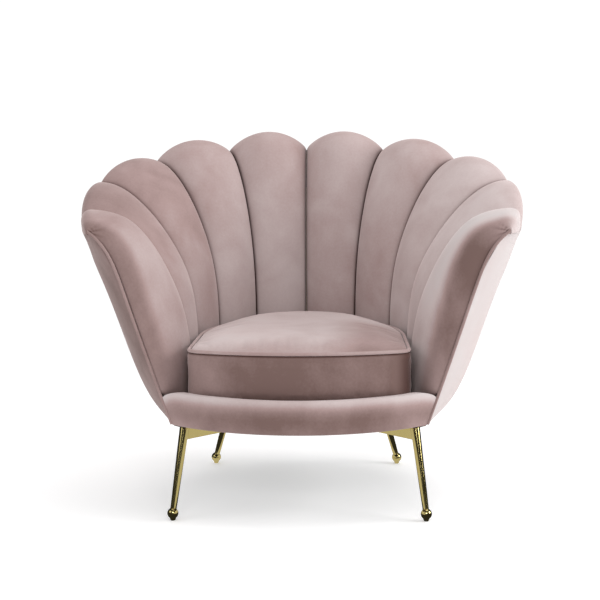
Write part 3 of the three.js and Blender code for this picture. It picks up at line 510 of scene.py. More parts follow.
class Finish:
    """A material, and the nodes that make it."""

    def __init__(self, name):
        self.material = bpy.data.materials.new(name)
        self.material.use_nodes = True
        self.tree = self.material.node_tree
        self.tree.nodes.clear()

    def node(self, kind, settings=None, sockets=None):
        node = self.tree.nodes.new(kind)
        for key, value in (settings or {}).items():
            setattr(node, key, value)
        for key, value in (sockets or {}).items():
            if isinstance(value, Value):
                self.tree.links.new(value.socket, node.inputs[key])
            else:
                node.inputs[key].default_value = value
        return node

    def value(self, kind, output, settings=None, sockets=None):
        return Value(self, self.node(kind, settings, sockets).outputs[output])

    def place(self, scale=(1, 1, 1)):
        """Object coordinates, stretched."""
        coordinates = self.value("ShaderNodeTexCoord", "Object")
        return self.value("ShaderNodeMapping", "Vector", None, {"Vector": coordinates, "Scale": scale})

    def noise(self, scale, detail=2.0, roughness=0.5, place=None, distortion=0.0):
        return self.value("ShaderNodeTexNoise", "Fac", None,
                          {"Vector": place or self.place(), "Scale": scale, "Detail": detail,
                           "Roughness": roughness, "Distortion": distortion})

    def between(self, value, low, high, to_low=0.0, to_high=1.0):
        """Spreads the values from low to high over a new range, and stops there."""
        return self.value("ShaderNodeMapRange", "Result", {"clamp": True},
                          {"Value": value, "From Min": low, "From Max": high,
                           "To Min": to_low, "To Max": to_high})

    def blend(self, share, first, second):
        """Mixes two colours by a value."""
        return self.value("ShaderNodeMix", 2, {"data_type": "RGBA"}, {0: share, 6: first, 7: second})

    def attribute(self, name):
        return self.value("ShaderNodeAttribute", "Fac", {"attribute_name": name})

    def bump(self, height, distance, strength, under=None):
        sockets = {"Height": height, "Distance": distance, "Strength": strength}
        if under is not None:
            sockets["Normal"] = under
        return self.value("ShaderNodeBump", "Normal", None, sockets)

    def surface(self, **sockets):
        """Ends the material in one shader, whose sockets are named in small letters."""
        named = {}
        for key, value in sockets.items():
            named[key.replace("_", " ").title().replace("Ior", "IOR")] = value
        shader = self.value("ShaderNodeBsdfPrincipled", "BSDF", None, named)
        self.node("ShaderNodeOutputMaterial", None, {"Surface": shader})
        return self.material


# Lit and shaded tones of one velvet, which the painted light picks between: painted shade, half light,
# light and a pale painted sheen. SEAM_SHADE is the painted shade in seams, pleats and the cushion's
# shadows.
PAINTED_SHADE_TONE = (0.160, 0.102, 0.092, 1)
PAINTED_HALF_LIGHT_TONE = (0.330, 0.235, 0.225, 1)
PAINTED_LIGHT_TONE = (0.490, 0.412, 0.405, 1)
PAINTED_SHEEN_TONE = (0.520, 0.480, 0.475, 1)
SEAM_SHADE = (0.060, 0.025, 0.020, 1)


def velvet(name):
    """Short-pile velvet, coloured from painted shade through painted light to a pale painted sheen, with
    brushed noise for the pile's own uneven tone. Painted shade darkens it into each seam.
    """
    finish = Finish(name)
    clouds = finish.noise(6.5, 2.5, 0.55, distortion=0.7)
    brushed = finish.noise(17, 2.5, 0.55, finish.place((1, 1, 0.55)))
    mottle = finish.noise(190, 2, 0.6)
    nap = finish.attribute("nap")
    share = nap + (clouds - 0.5) * 0.6 + (brushed - 0.5) * 0.26 + (mottle - 0.5) * 0.16
    colour = finish.blend(finish.between(share, 0.0, 0.5), PAINTED_SHADE_TONE, PAINTED_HALF_LIGHT_TONE)
    colour = finish.blend(finish.between(share, 0.5, 1.0), colour, PAINTED_LIGHT_TONE)
    colour = finish.blend(finish.between(share, 1.0, 1.4), colour, PAINTED_SHEEN_TONE)
    # Painted shade in seams, pleats and the cushion's shadows
    colour = finish.blend(finish.attribute("fold"), colour, SEAM_SHADE)
    pile = finish.noise(2300, 1.5, 0.7)
    ripple = finish.bump(brushed, 0.0008, 0.35)
    normal = finish.bump(pile, 0.00025, 0.25, ripple)
    return finish.surface(
        base_color=colour, roughness=0.92, sheen_weight=0.4, sheen_roughness=0.33,
        sheen_tint=(1.0, 0.86, 0.84, 1), specular_ior_level=0.15, normal=normal)


def gold():
    """Polished gold plating with faint smears."""
    finish = Finish("gold plating")
    smear = finish.noise(38, 3, 0.6, finish.place((1, 1, 0.25)))
    grain = finish.noise(900, 1, 0.5, finish.place((1, 1, 0.04)))
    colour = finish.blend(smear, (0.54, 0.445, 0.175, 1), (0.65, 0.545, 0.235, 1))
    normal = finish.bump(grain, 0.00002, 0.2)
    return finish.surface(base_color=colour, metallic=1.0,
                          roughness=finish.between(smear, 0.3, 0.7, 0.07, 0.16), normal=normal)


def timber(name, dark, light, along):
    """Planed wood with its grain along one axis."""
    finish = Finish(name)
    stretch = {"x": (0.12, 1, 1), "z": (1, 1, 0.12)}[along]
    place = finish.place(stretch)
    rings = finish.noise(60, 4, 0.6, place, 1.2)
    pores = finish.noise(700, 2, 0.5, place)
    colour = finish.blend(finish.between(rings, 0.35, 0.65), dark, light)
    return finish.surface(base_color=colour, roughness=finish.between(pores, 0.3, 0.7, 0.55, 0.75),
                          normal=finish.bump(pores, 0.0002, 0.4))


def woven(name, dark, light, threads):
    """Plain weave: threads along X crossing threads along Y."""
    finish = Finish(name)
    place = finish.place()
    sockets = {"Vector": place, "Scale": threads, "Distortion": 0.4, "Detail Scale": 4.0}
    warp, weft = (finish.value("ShaderNodeTexWave", "Fac", {"bands_direction": axis}, sockets)
                  for axis in "XY")
    weave = warp * weft
    colour = finish.blend(weave * 0.7 + finish.noise(20) * 0.3, dark, light)
    return finish.surface(base_color=colour, roughness=0.9, specular_ior_level=0.2,
                          normal=finish.bump(weave, 0.0003, 0.5))


def zinc():
    """Dull zinc plating, a little cloudy."""
    finish = Finish("zinc plating")
    cloud = finish.noise(160, 3)
    colour = finish.blend(cloud, (0.52, 0.53, 0.55, 1), (0.68, 0.69, 0.71, 1))
    return finish.surface(base_color=colour, metallic=1.0,
                          roughness=finish.between(cloud, 0.3, 0.7, 0.3, 0.42))


VELVET = velvet("blush velvet")
VELVET_CORD = velvet("velvet cord")
GOLD = gold()
ZINC = zinc()
BEECH_TONES = (0.46, 0.30, 0.17, 1), (0.66, 0.47, 0.29, 1)
BEECH = timber("beech", *BEECH_TONES, "z")
BEECH_RAIL = timber("beech rail", *BEECH_TONES, "x")
PLYWOOD = timber("plywood", (0.58, 0.43, 0.27, 1), (0.76, 0.61, 0.43, 1), "z")
WEBBING = woven("webbing", (0.05, 0.045, 0.04, 1), (0.20, 0.18, 0.16, 1), 420)
DECK_CLOTH = woven("deck cloth", (0.17, 0.12, 0.115, 1), (0.27, 0.20, 0.19, 1), 520)
DUST_CLOTH = woven("dust cloth", (0.012, 0.012, 0.013, 1), (0.035, 0.035, 0.037, 1), 700)


# Channel pads
def nap_at(channel, side, share, place):
    """How light a channel is painted, from its seat end up and from its rear seam to its front one, with
    a painted shadow low on the left arm's pad beside its inner seam.
    """
    if channel < LOBED_CHANNELS:
        return CHANNEL_LIGHT[side][channel] + through(LIGHT_SHARES, LOBE_LIGHT[side], share)
    inner = through(LIGHT_SHARES, NOSE_INNER_LIGHT[side], share)
    band = through(LIGHT_SHARES, NOSE_BAND_LIGHT[side], share)
    if side == "left":
        beside_seam = ramp(place, *LEFT_NOSE_SHADOW_ACROSS) * ramp(share, *LEFT_NOSE_SHADOW_UP)
        inner -= LEFT_NOSE_SHADOW * beside_seam
    return lerp(inner, band, ramp(place, *NOSE_SHADE_BANDS[side]))


def pad_row(channel, share):
    """A row of points round a pad at one share of its height, with their painted seam shade and painted
    light.
    """
    near, far = seam_point(channel, share), seam_point(channel + 1, share)
    width = np.linalg.norm(far - near)
    nose = channel == LOBED_CHANNELS
    inset = SEAM_HALF_GAP / width
    far_inset = through(WELT_SEAT_SHARES, WELT_SEATS, share) / width if nose else inset
    power = through(POWER_SHARES, NOSE_POWERS if nose else LOBE_POWERS, share)
    full = through(FULLNESS_SHARES, NOSE_FULLNESSES if nose else LOBE_FULLNESSES[channel], share)
    places = (1 - np.cos(np.linspace(0, math.pi, ACROSS_STEPS + 1))) / 2
    front, folds, naps = [], [], []
    for place in places:
        across = lerp(inset, 1 - far_inset, place)
        near_edge, far_edge = place * width, (1 - place) * width
        sunk = math.exp(-near_edge / SEAM_SINK_WIDTH)
        if not nose:
            sunk = max(sunk, math.exp(-far_edge / SEAM_SINK_WIDTH))
        crown = max(4 * place * (1 - place), 0) ** power
        proud = full * crown - SEAM_SINK * sunk
        front.append(lerp(near, far, across) + facing(channel, share, across) * proud)
        # Painted shade into the sunk seam, and painted light for each side
        folds.append(min(1.0, sunk * SEAM_SHADE_DARKNESS))
        naps.append([nap_at(channel, side, share, place) for side in SIDES])
    depth = max(through(DEPTH_SHARES, PAD_DEPTHS, share), SEAM_SINK + LEAST_SKIN)
    near_back = near + into_wall(channel, share) * depth
    far_back = far + into_wall(channel + 1, share) * depth
    back = [lerp(near_back, far_back, lerp(inset, 1 - far_inset, place)) for place in places[::-1]]
    hidden_naps = [[HIDDEN_LIGHT, HIDDEN_LIGHT]] * len(back)
    return front + back, folds + [0.0] * len(back), naps + hidden_naps


def pad_foot(channel, row):
    """Rows that take a pad's lower end down to the deck, clear of the ends of the front rail."""
    row = np.array(row)
    size = ACROSS_STEPS + 1
    middle = row.reshape(2, size, 3)[:, size // 2].mean(axis=0)
    feet = []
    for drop, shrink in zip(FOOT_DROPS, FOOT_SHRINKS):
        foot = row.copy()
        if channel == LOBED_CHANNELS:
            drawn_in = shrink * ramp(row[:, 1], *FOOT_SHRINK_YS)
            foot[:, :2] = lerp(foot[:, :2], middle[:2], drawn_in[:, None])
        foot[:, 2] = PAD_BOTTOM - drop
        feet.append(foot)
    return feet


def gather_tip(pad):
    """Small pleats where the arm's pad is gathered over the end of its welt. Gives back the painted shade
    for each point in them.
    """
    places, normals = points_of(pad)
    tip = welt_point(1.0)
    away = places - tip
    distance = np.linalg.norm(away, axis=1)
    turn = np.arctan2(away[:, 2], -away[:, 0])
    near = np.exp(-(distance / PLEAT_REACH) ** 2) * ramp(distance, *PLEAT_START)
    pleats = np.zeros(len(places))
    for centre, width, depth in TIP_PLEATS:
        pleats += depth * np.exp(-((turn - centre) / width) ** 2)
    move_points(pad, -normals * (near * pleats)[:, None])
    return np.clip(near * pleats / PLEAT_FULL_SHADE_DEPTH, 0, 1)


def channel_pad(channel, name):
    rows, folds, naps = map(list, zip(*(pad_row(channel, share) for share in UP_SHARES)))
    feet = pad_foot(channel, rows[0])
    rows = feet + rows
    folds = np.array([folds[0]] * len(feet) + folds)
    naps = np.array([naps[0]] * len(feet) + naps).reshape(-1, 2)
    pad = skin(name, rows)
    # Each pad keeps its painted seam shade and the painted light of both sides
    paint(pad, fold=folds.ravel(), nap=naps[:, 0], left_nap=naps[:, 1])
    size = ACROSS_STEPS + 1
    held = np.zeros(folds.shape)
    held[:, size:] = 1
    held[:, :HELD_EDGE] = held[:, size - HELD_EDGE:size] = 1
    held[:len(feet) + 1] = held[-1] = 1
    inflate(pad, held.ravel(), PAD_PUFF)
    finish_with(pad, "SUBSURF", levels=1, render_levels=1)
    if channel == LOBED_CHANNELS:
        pleats = gather_tip(pad)
        # Painted shade in the pleats, kept where it is darker than the painted seam shade
        repaint(pad, "fold", np.maximum(painted(pad, "fold"), pleats))
    smooth(pad)
    return pad


for channel in range(CHANNELS):
    number = channel + 1
    right = channel_pad(channel, f"velvet_channel_right_{number}")
    left = mirrored(right, f"velvet_channel_left_{number}")
    # The left pads take the left side's painted light, as the light falls differently there
    repaint(left, "nap", painted(left, "left_nap"))
    for pad, side in zip((right, left), SIDES):
        pad.data.attributes.remove(pad.data.attributes["left_nap"])
        put_on(pad, SHELL, [f"channel_pad_{side}_{number}"], VELVET)


# Welts and pipings
def cord(name, centres, radius, closed=False):
    """A covered cord along a row of points of the drawing."""
    line = bpy.data.curves.new(name, "CURVE")
    line.dimensions = "3D"
    line.bevel_depth = radius * MM
    line.bevel_resolution = 4
    line.use_fill_caps = True
    spline = line.splines.new("POLY")
    spline.points.add(len(centres) - 1)
    for point, place in zip(spline.points, to_model(centres)):
        point.co = (*place, 1)
    spline.use_cyclic_u = closed
    choose(new_object(name, line))
    bpy.ops.object.convert(target="MESH")
    piece = bpy.context.object
    smooth(piece, CORD_SHARPNESS)
    return piece


foot_share = welt_share_at(BASE_BOTTOM + WELT_RADIUS)
welt_line = [welt_point(share) for share in np.linspace(foot_share, WELT_END_SHARE, WELT_STEPS)]
welt_right = cord("arm_welt_cord_right", welt_line, WELT_RADIUS)
welt_left = mirrored(welt_right, "arm_welt_cord_left")
for welt, side in zip((welt_right, welt_left), SIDES):
    # Each welt gets one painted light value, set apart for each side, and no painted shade
    paint(welt, fold=0.0, nap=WELT_LIGHT[side])
    put_on(welt, SHELL, [f"arm_welt_{side}"], VELVET_CORD)


# Front rail
def bow(end, front):
    """The arc from side to side through an end, bowed out to a front line: its radius, its centre's
    place and half its angle."""
    sag = end[1] - front
    radius = (end[0] ** 2 + sag ** 2) / (2 * sag)
    return radius, front + radius, math.asin(end[0] / radius)


def bow_point(arc, share, inset=0.0):
    """A point at a share of half such an arc, or of one drawn in by an inset."""
    radius, centre, angle = arc
    turn = angle * share
    return np.array([(radius - inset) * math.sin(turn), centre - (radius - inset) * math.cos(turn)])


RAIL_BOW = bow(welt_point(welt_share_at(BASE_BOTTOM)), RAIL_FRONT)


def rail_row(share):
    """A row of points round the rail at a share of its half length, its face first."""
    side = abs(share)
    top = RAIL_TOP + through(RAIL_ROLL_SHARES, RAIL_ROLL_RISES, side)
    lip = through(RAIL_LIP_SHARES, RAIL_LIP_DEPTHS, side)
    row = []
    for up, recess in zip(RAIL_PROFILE, RAIL_PROFILE_RECESSES):
        z = lerp(BASE_BOTTOM, top, up)
        arc = bow(welt_point(welt_share_at(min(z, RAIL_TOP))), RAIL_FRONT + recess)
        row.append([*bow_point(arc, share), z])
    rounded = [(lip * depth, top - drop) for depth, drop in RAIL_LIP_ROUND]
    ledge = [(lip, RAIL_LIP_FOOT), (lip, RAIL_LEDGE), (RAIL_DEPTH, RAIL_LEDGE)]
    back = [(RAIL_DEPTH, z) for z in np.linspace(RAIL_BACK_TOP, BASE_BOTTOM, len(RAIL_PROFILE) - 2)]
    for inset, z in rounded + ledge + back:
        row.append([*bow_point(RAIL_BOW, share, inset), z])
    return row


def front_rail():
    """The bowed, padded rail: a rounded roll on top that swells before it turns down at each end."""
    trim = RAIL_END_TRIM / RAIL_BOW[0] / RAIL_BOW[2]
    seen = len(RAIL_PROFILE) + len(RAIL_LIP_ROUND) + 1
    rows, naps = [], []
    for step in RAIL_STEPS:
        share = lerp(trim - 1, 1 - trim, step)
        rows.append(rail_row(share))
        # The rail is painted lighter towards its ends
        end_nap = RAIL_END_LIGHT * share ** 2
        face = [through(RAIL_LIGHT_HEIGHTS, RAIL_LIGHT, up) + end_nap for up in RAIL_PROFILE]
        lip = [RAIL_LIP_LIGHT] * (seen - len(face))
        naps.append(face + lip + [RAIL_BACK_LIGHT] * (len(rows[-1]) - seen))
    piece = skin("velvet_front_rail", rows)
    paint(piece, fold=0.0, nap=np.array(naps).ravel())
    held = np.ones((len(rows), len(rows[0])))
    held[RAIL_HELD_STEPS:-RAIL_HELD_STEPS, 2:seen - 2] = 0
    inflate(piece, held.ravel(), RAIL_PUFF)
    finish_with(piece, "SUBSURF", levels=1, render_levels=1)
    smooth(piece)
    return piece


rail = front_rail()
put_on(rail, SHELL, ["front_rail_cover"], VELVET)


# Seat cushion
def cushion_outline():
    """The cushion in plan, from the middle of its front round its right side."""
    slant = CUSHION_FRONT_HALF_WIDTH - CUSHION_HALF_WIDTH
    arc = bow((CUSHION_FRONT_HALF_WIDTH, CUSHION_SIDE_FRONT), CUSHION_SIDE_FRONT - CUSHION_BOW)
    end_share = 1 - CUSHION_CORNER / arc[0] / arc[2]
    bowed = [bow_point(arc, share * end_share) for share in np.linspace(0, 1, BOWED_STEPS)]
    start, turn = bowed[-1], np.array([CUSHION_FRONT_HALF_WIDTH, CUSHION_SIDE_FRONT])
    end = turn + (0, CUSHION_CORNER)
    corner = [(1 - t) ** 2 * start + 2 * t * (1 - t) * turn + t * t * end
              for t in np.linspace(0, 1, CORNER_STEPS)[1:]]
    side = [np.array([CUSHION_FRONT_HALF_WIDTH - slant * t, lerp(end[1], SEAT_PLAN[2], t)])
            for t in np.linspace(0, 1, SIDE_STEPS)[1:-1]]
    back = [np.array([CUSHION_HALF_WIDTH * math.cos(t), SEAT_PLAN[2] + CUSHION_DEPTH * math.sin(t)])
            for t in np.linspace(0, math.pi / 2, ROUND_STEPS)]
    half = bowed + corner + side + back
    return np.array(half + [p * (-1, 1) for p in half[-2:0:-1]])


OUTLINE = cushion_outline()


def cushion_ring(inset, z, size=1.0):
    """The outline, drawn in by an inset and scaled about the cushion's middle, at a height."""
    along = np.roll(OUTLINE, -1, 0) - np.roll(OUTLINE, 1, 0)
    along /= np.linalg.norm(along, axis=1, keepdims=True)
    moved = OUTLINE + np.stack([-along[:, 1], along[:, 0]], 1) * inset
    ring = np.stack([moved[:, 0] * size, CUSHION_MIDDLE + (moved[:, 1] - CUSHION_MIDDLE) * size], 1)
    return np.c_[ring, np.full(len(ring), z)]


def edge_distance(places):
    """How far points lie inside the cushion's outline, and the way in from it."""
    along = np.roll(OUTLINE, -1, 0) - OUTLINE
    length = np.linalg.norm(along, axis=1)
    along /= length[:, None]
    inward = np.stack([-along[:, 1], along[:, 0]], 1)
    away = places[:, None, :2] - OUTLINE
    run = np.clip((away * along).sum(2), 0, length)
    beside = away - run[..., None] * along
    nearest = np.argmin((beside ** 2).sum(2), axis=1)
    inset = (beside[np.arange(len(places)), nearest] * inward[nearest]).sum(1)
    return inset, inward[nearest]


def tuck_under_piping(cushion, upper):
    """Trues the top of the boxing up after the remesh, so that it runs in under the piping."""
    places, _ = points_of(cushion)
    height = places[:, 2] - upper
    band = np.flatnonzero((height > TUCK_BAND[0]) & (height < TUCK_BAND[1]))
    inset, inward = edge_distance(places[band])
    near = inset < TUCK_REACH
    band, inset, inward = band[near], inset[near], inward[near]
    wanted = np.interp(height[band], TUCK_HEIGHTS, TUCK_INSETS)
    moved = np.zeros(places.shape)
    push = (wanted - inset) * ramp(height[band], *TUCK_BLEND)
    moved[band, :2] = inward * push[:, None]
    move_points(cushion, moved)


def paint_cushion(cushion, upper):
    """Paints shadow on the top at its right and front, on the boxing's right end and on the strip under
    the piping, and paints the top lighter than the sides where it faces up.
    """
    places, normals = points_of(cushion)
    x, y, z = places.T
    top = 1 - RIGHT_SHADOW * ramp(x, *RIGHT_SHADOW_XS) * ramp(y, *RIGHT_SHADOW_YS)
    top -= FRONT_SHADOW * ramp(y, *FRONT_SHADOW_YS)
    boxing = np.interp(x, BOXING_XS, BOXING_LIGHT)
    end = END_SHADOW * ramp(x, *END_SHADOW_XS) * ramp(y, *END_SHADOW_YS)
    under = PIPING_SHADOW * ramp(z, *(upper - drop for drop in PIPING_SHADOW_DROPS))
    side = np.where(z < upper, 1, 1 - ramp(normals[:, 2], *TOP_FACING))
    paint(cushion, fold=np.maximum(end, under) * side, nap=lerp(top, boxing, side))


def seat_cushion():
    """Rings of the outline: the underside, the boxing between the pipings, and the crown."""
    lower, upper = CUSHION_BOTTOM + PIPING_RADIUS, CUSHION_EDGE_HEIGHT
    nip = PIPING_RADIUS + PIPING_GAP
    seat = 2 * PIPING_RADIUS + PIPING_GAP
    shoulder = upper + PIPING_RADIUS / 2
    rings = [cushion_ring(seat, CUSHION_BOTTOM, size) for size in UNDERSIDE_SIZES]
    rings.append(cushion_ring(seat, lower + PIPING_RADIUS))
    for share in BOXING_SHARES:
        draw_in = CUSHION_DRAW_IN * 4 * share * (1 - share) + PIPING_GAP
        rings.append(cushion_ring(draw_in, lerp(lower + nip, upper - nip, share)))
    rings += [cushion_ring(seat, upper - PIPING_RADIUS), cushion_ring(seat, shoulder)]
    for size in CROWN_SIZES:
        rise = CUSHION_CROWN * (1 - size ** CUSHION_CROWN_POWER)
        rings.append(cushion_ring(seat, shoulder + rise, size))
    count, size = len(rings), len(OUTLINE)
    faces = [(a + j, a + (j + 1) % size, a + size + (j + 1) % size, a + size + j)
             for a in range(0, (count - 1) * size, size) for j in range(size)]
    faces += [tuple(range(size))[::-1], tuple(range((count - 1) * size, count * size))]
    cushion = new_piece("velvet_seat_cushion", to_model(np.concatenate(rings)), faces)
    recalculate_normals(cushion)
    finish_with(cushion, "REMESH", mode="VOXEL", voxel_size=CUSHION_VOXEL)
    z = points_of(cushion)[0][:, 2]
    held = ((abs(z - upper) < HELD_BAND) | (z < lower + HELD_BAND)).astype(float)
    inflate(cushion, held, CUSHION_PUFF, CUSHION_SLACK)
    finish_with(cushion, "SUBSURF", levels=1, render_levels=1)
    tuck_under_piping(cushion, upper)
    smooth(cushion)
    paint_cushion(cushion, upper)
    return cushion


cushion = seat_cushion()
put_on(cushion, CUSHION, ["seat_cushion"], VELVET)
for level, height in (("top", CUSHION_EDGE_HEIGHT), ("bottom", CUSHION_BOTTOM + PIPING_RADIUS)):
    cord_line = cushion_ring(PIPING_RADIUS, height)
    piping = cord(f"cushion_cord_{level}", cord_line, PIPING_RADIUS - PIPING_INSET, closed=True)
    # The piping gets one painted light value and no painted shade
    paint(piping, fold=0.0, nap=PIPING_LIGHT)
    put_on(piping, CUSHION, [f"seat_cushion_{level}_piping"], VELVET_CORD)


# Outside covers, deck and dust cover, from their CAD shapes
def shape_of(node, name):
    """A merged copy of a CAD node's shape, in faces of four sides where they fit."""
    piece = new_object(name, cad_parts[node].data.copy())
    choose(piece)
    bpy.ops.object.mode_set(mode="EDIT")
    bpy.ops.mesh.select_all(action="SELECT")
    bpy.ops.mesh.remove_doubles(threshold=0.00002)
    bpy.ops.mesh.tris_convert_to_quads(
        face_threshold=math.radians(60), shape_threshold=math.radians(90))
    bpy.ops.object.mode_set(mode="OBJECT")
    return piece


def crease_sharp(piece, angle, amount):
    """Keeps a piece's sharp edges crisp under subdivision."""
    shape = bmesh.new()
    shape.from_mesh(piece.data)
    creases = shape.edges.layers.float.new("crease_edge")
    for edge in shape.edges:
        if len(edge.link_faces) == 2 and edge.calc_face_angle(0) > math.radians(angle):
            edge[creases] = amount
    shape.to_mesh(piece.data)
    shape.free()


# An outside cover's painted light at its front and at its back (the right arm's front painted pale as a
# highlight, the left arm's front in painted shade), and how an arm's top edge rises and draws in
COVER_LIGHT = {"right": (1.3, 0.65), "left": (0.1, 0.65), "back": (0.65, 0.65)}
COVER_TOP_XS = (380, 430)
COVER_LIFT, COVER_LIFT_YS, COVER_LIFT_ZS = 6.5, (-120, -240), (585, 606)
COVER_TUCKS = ([-285, -215, -175, -142, -60, 20, 150], [0, 7, 8.5, 6.5, 4, 2, 0])
COVER_TUCK_ZS = (530, 602)
COVER_LIGHT_YS = (-180, 180)


def outside_cover(side, node, name):
    """A cover of the back or of an arm, whose top edge meets the arm's pad."""
    cover = shape_of(node, name)
    crease_sharp(cover, CLOTH_SHARPNESS, 0.9)
    finish_with(cover, "SUBSURF", levels=2, render_levels=2)
    x, y, z = points_of(cover)[0].T
    top = ramp(abs(x), *COVER_TOP_XS)
    lift = COVER_LIFT * ramp(y, *COVER_LIFT_YS) * ramp(z, *COVER_LIFT_ZS) * top
    tuck = np.interp(y, *COVER_TUCKS) * ramp(z, *COVER_TUCK_ZS) * top
    move_points(cover, np.stack([-np.sign(x) * tuck, np.zeros(len(x)), lift], 1))
    smooth(cover, CLOTH_SHARPNESS)
    # Painted light: the right cover's front pale as a painted highlight, the left cover's front in
    # painted shade
    paint(cover, fold=0.0, nap=lerp(*COVER_LIGHT[side], ramp(y, *COVER_LIGHT_YS)))
    put_on(cover, SHELL, [node], VELVET)


outside_cover("back", "outside_back_cover", "velvet_outside_back")
for side in SIDES:
    outside_cover(side, f"outside_arm_cover_{side}", f"velvet_outside_arm_{side}")

# How far the deck's sides move out, by their Y, and its front edge forward or back, by its X
DECK_CORNERS = ([-326, -308, -288, -279, -224, -163], [0, 15, 29, 54, 12, 0])
DECK_FRONTS = ([0, 110, 145, 169, 199, 227, 236], [-15.5, -12.5, -9.5, -13, -11, -0.5, 4])
DECK_FRONT_EDGE = -270
DUST_CORNER = (275, -250)
DUST_CORNER_MOVES = (-2.7, -27.0)


def deck_reach(x, y):
    """Takes the deck out to the pads and the front rail."""
    return np.interp(y, *DECK_CORNERS), np.interp(abs(x), *DECK_FRONTS) * (y < DECK_FRONT_EDGE)


def dust_reach(x, y):
    """Takes the dust cover's front corners forward, to the arm covers' lower edges."""
    corner = (abs(x) > DUST_CORNER[0]) & (y < DUST_CORNER[1])
    return DUST_CORNER_MOVES[0] * corner, DUST_CORNER_MOVES[1] * corner


def flat_cloth(node, name, material, rounding, reach=None):
    """A flat sheet in its CAD shape, with soft edges."""
    cloth = shape_of(node, name)
    if reach:
        x, y, z = points_of(cloth)[0].T
        wider, longer = reach(x, y)
        move_points(cloth, np.stack([np.sign(x) * wider, longer, 0 * z], 1))
    finish_with(cloth, "BEVEL", width=rounding, segments=3, angle_limit=math.radians(BEVELLED_ANGLE))
    smooth(cloth, CLOTH_SHARPNESS)
    put_on(cloth, SHELL, [node], material)


flat_cloth("seat_deck", "cloth_seat_deck", DECK_CLOTH, 0.003, deck_reach)
flat_cloth("dust_cover", "cloth_dust_cover", DUST_CLOTH, 0.0004, dust_reach)
for strap in ("webbing_long_1", "webbing_long_2", "webbing_long_3", "webbing_cross_1", "webbing_cross_2"):
    flat_cloth(strap, f"cloth_{strap}", WEBBING, 0.0006)


# Legs and bars. Each leg has the place of its foot on the floor and of its head under the base.
LEGS = {}
for end, foot, head in (("front", (273, -329), (250, -276)), ("rear", (227, 186), (176, 158))):
    for side, sign in (("left", -1), ("right", 1)):
        LEGS[f"{end}_{side}"] = ((sign * foot[0], foot[1]), (sign * head[0], head[1]))
SHAFT_TOP = 195
SHAFT_RADII = (6.6, 10.4)
ROUND_SIDES = 48
TIP_RADIUS = 4.5
NECK_RADIUS = 7
BALL_RADIUS = 12
BALL_HEIGHT = 15.5
BALL_TURNS = np.linspace(-math.acos(NECK_RADIUS / BALL_RADIUS), 1.35, 18)
FOOT_PROFILE = [(5.2, 0.5), (6.7, 4.6)]
FOOT_PROFILE += [(BALL_RADIUS * math.cos(turn), BALL_HEIGHT + BALL_RADIUS * math.sin(turn))
                 for turn in BALL_TURNS]


def ball_foot():
    """A turned ball on a small flat tip, standing at the origin."""
    bpy.ops.object.select_all(action="DESELECT")
    bpy.ops.mesh.primitive_circle_add(vertices=ROUND_SIDES, radius=TIP_RADIUS * MM, fill_type="NGON")
    foot = bpy.context.object
    bpy.ops.object.mode_set(mode="EDIT")
    bpy.ops.mesh.select_all(action="SELECT")
    radius, height = TIP_RADIUS, 0.0
    for wider, higher in FOOT_PROFILE:
        rise = (0, 0, (higher - height) * MM)
        bpy.ops.mesh.extrude_region_move(TRANSFORM_OT_translate={"value": rise})
        scale = wider / radius
        bpy.ops.transform.resize(value=(scale, scale, 1), center_override=(0, 0, higher * MM))
        radius, height = wider, higher
    bpy.ops.mesh.select_all(action="SELECT")
    bpy.ops.mesh.normals_make_consistent(inside=False)
    bpy.ops.object.mode_set(mode="OBJECT")
    return foot


def leg_shaft(foot, head):
    """A round shaft that tapers down to the middle of its ball."""
    low, top = Vector(to_model([*foot, BALL_HEIGHT])), Vector(to_model([*head, BASE_BOTTOM]))
    high = low.lerp(top, (SHAFT_TOP - BALL_HEIGHT) / (BASE_BOTTOM - BALL_HEIGHT))
    along = high - low
    bpy.ops.object.select_all(action="DESELECT")
    bpy.ops.mesh.primitive_cone_add(
        vertices=ROUND_SIDES, radius1=SHAFT_RADII[0] * MM, radius2=SHAFT_RADII[1] * MM,
        depth=along.length, location=(low + high) / 2, rotation=along.to_track_quat("Z", "Y").to_euler())
    shaft = bpy.context.object
    bpy.ops.object.transform_apply(location=True, rotation=True, scale=True)
    return shaft


def metal_leg(corner, foot):
    """A shaft with its ball foot, as one piece."""
    shaft = leg_shaft(*LEGS[corner])
    ball = new_object("ball", foot.data.copy())
    ball.data.transform(Matrix.Translation(to_model([*LEGS[corner][0], 0])))
    choose(shaft)
    ball.select_set(True)
    bpy.ops.object.join()
    shaft.name = shaft.data.name = f"gold_leg_{corner}"
    smooth(shaft, METAL_SHARPNESS)
    put_on(shaft, SHELL, [f"leg_{corner}"], GOLD)


def bevelled(node, name, width):
    """A metal piece in its CAD shape, with its edges rounded."""
    piece = shape_of(node, name)
    finish_with(piece, "BEVEL", width=width, segments=3, angle_limit=math.radians(BEVELLED_ANGLE))
    smooth(piece, METAL_SHARPNESS)
    put_on(piece, SHELL, [node], GOLD)


FOOT = ball_foot()
for corner in LEGS:
    metal_leg(corner, FOOT)
    bevelled(f"leg_plate_{corner}", f"gold_plate_{corner}", 0.0007)
bpy.data.objects.remove(FOOT)
for bar in ("cross_bar_1", "cross_bar_2"):
    bevelled(bar, f"gold_{bar}", 0.0008)


# CAD pieces that keep their shape
def dress(node, material):
    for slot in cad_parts[node].material_slots:
        slot.material = material


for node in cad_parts:
    if node.startswith("rib_"):
        dress(node, BEECH)
    elif node.startswith(("rim_rail", "base_")):
        dress(node, BEECH_RAIL)
    elif "board" in node:
        dress(node, PLYWOOD)
    elif node.startswith("leg_screw"):
        dress(node, ZINC)


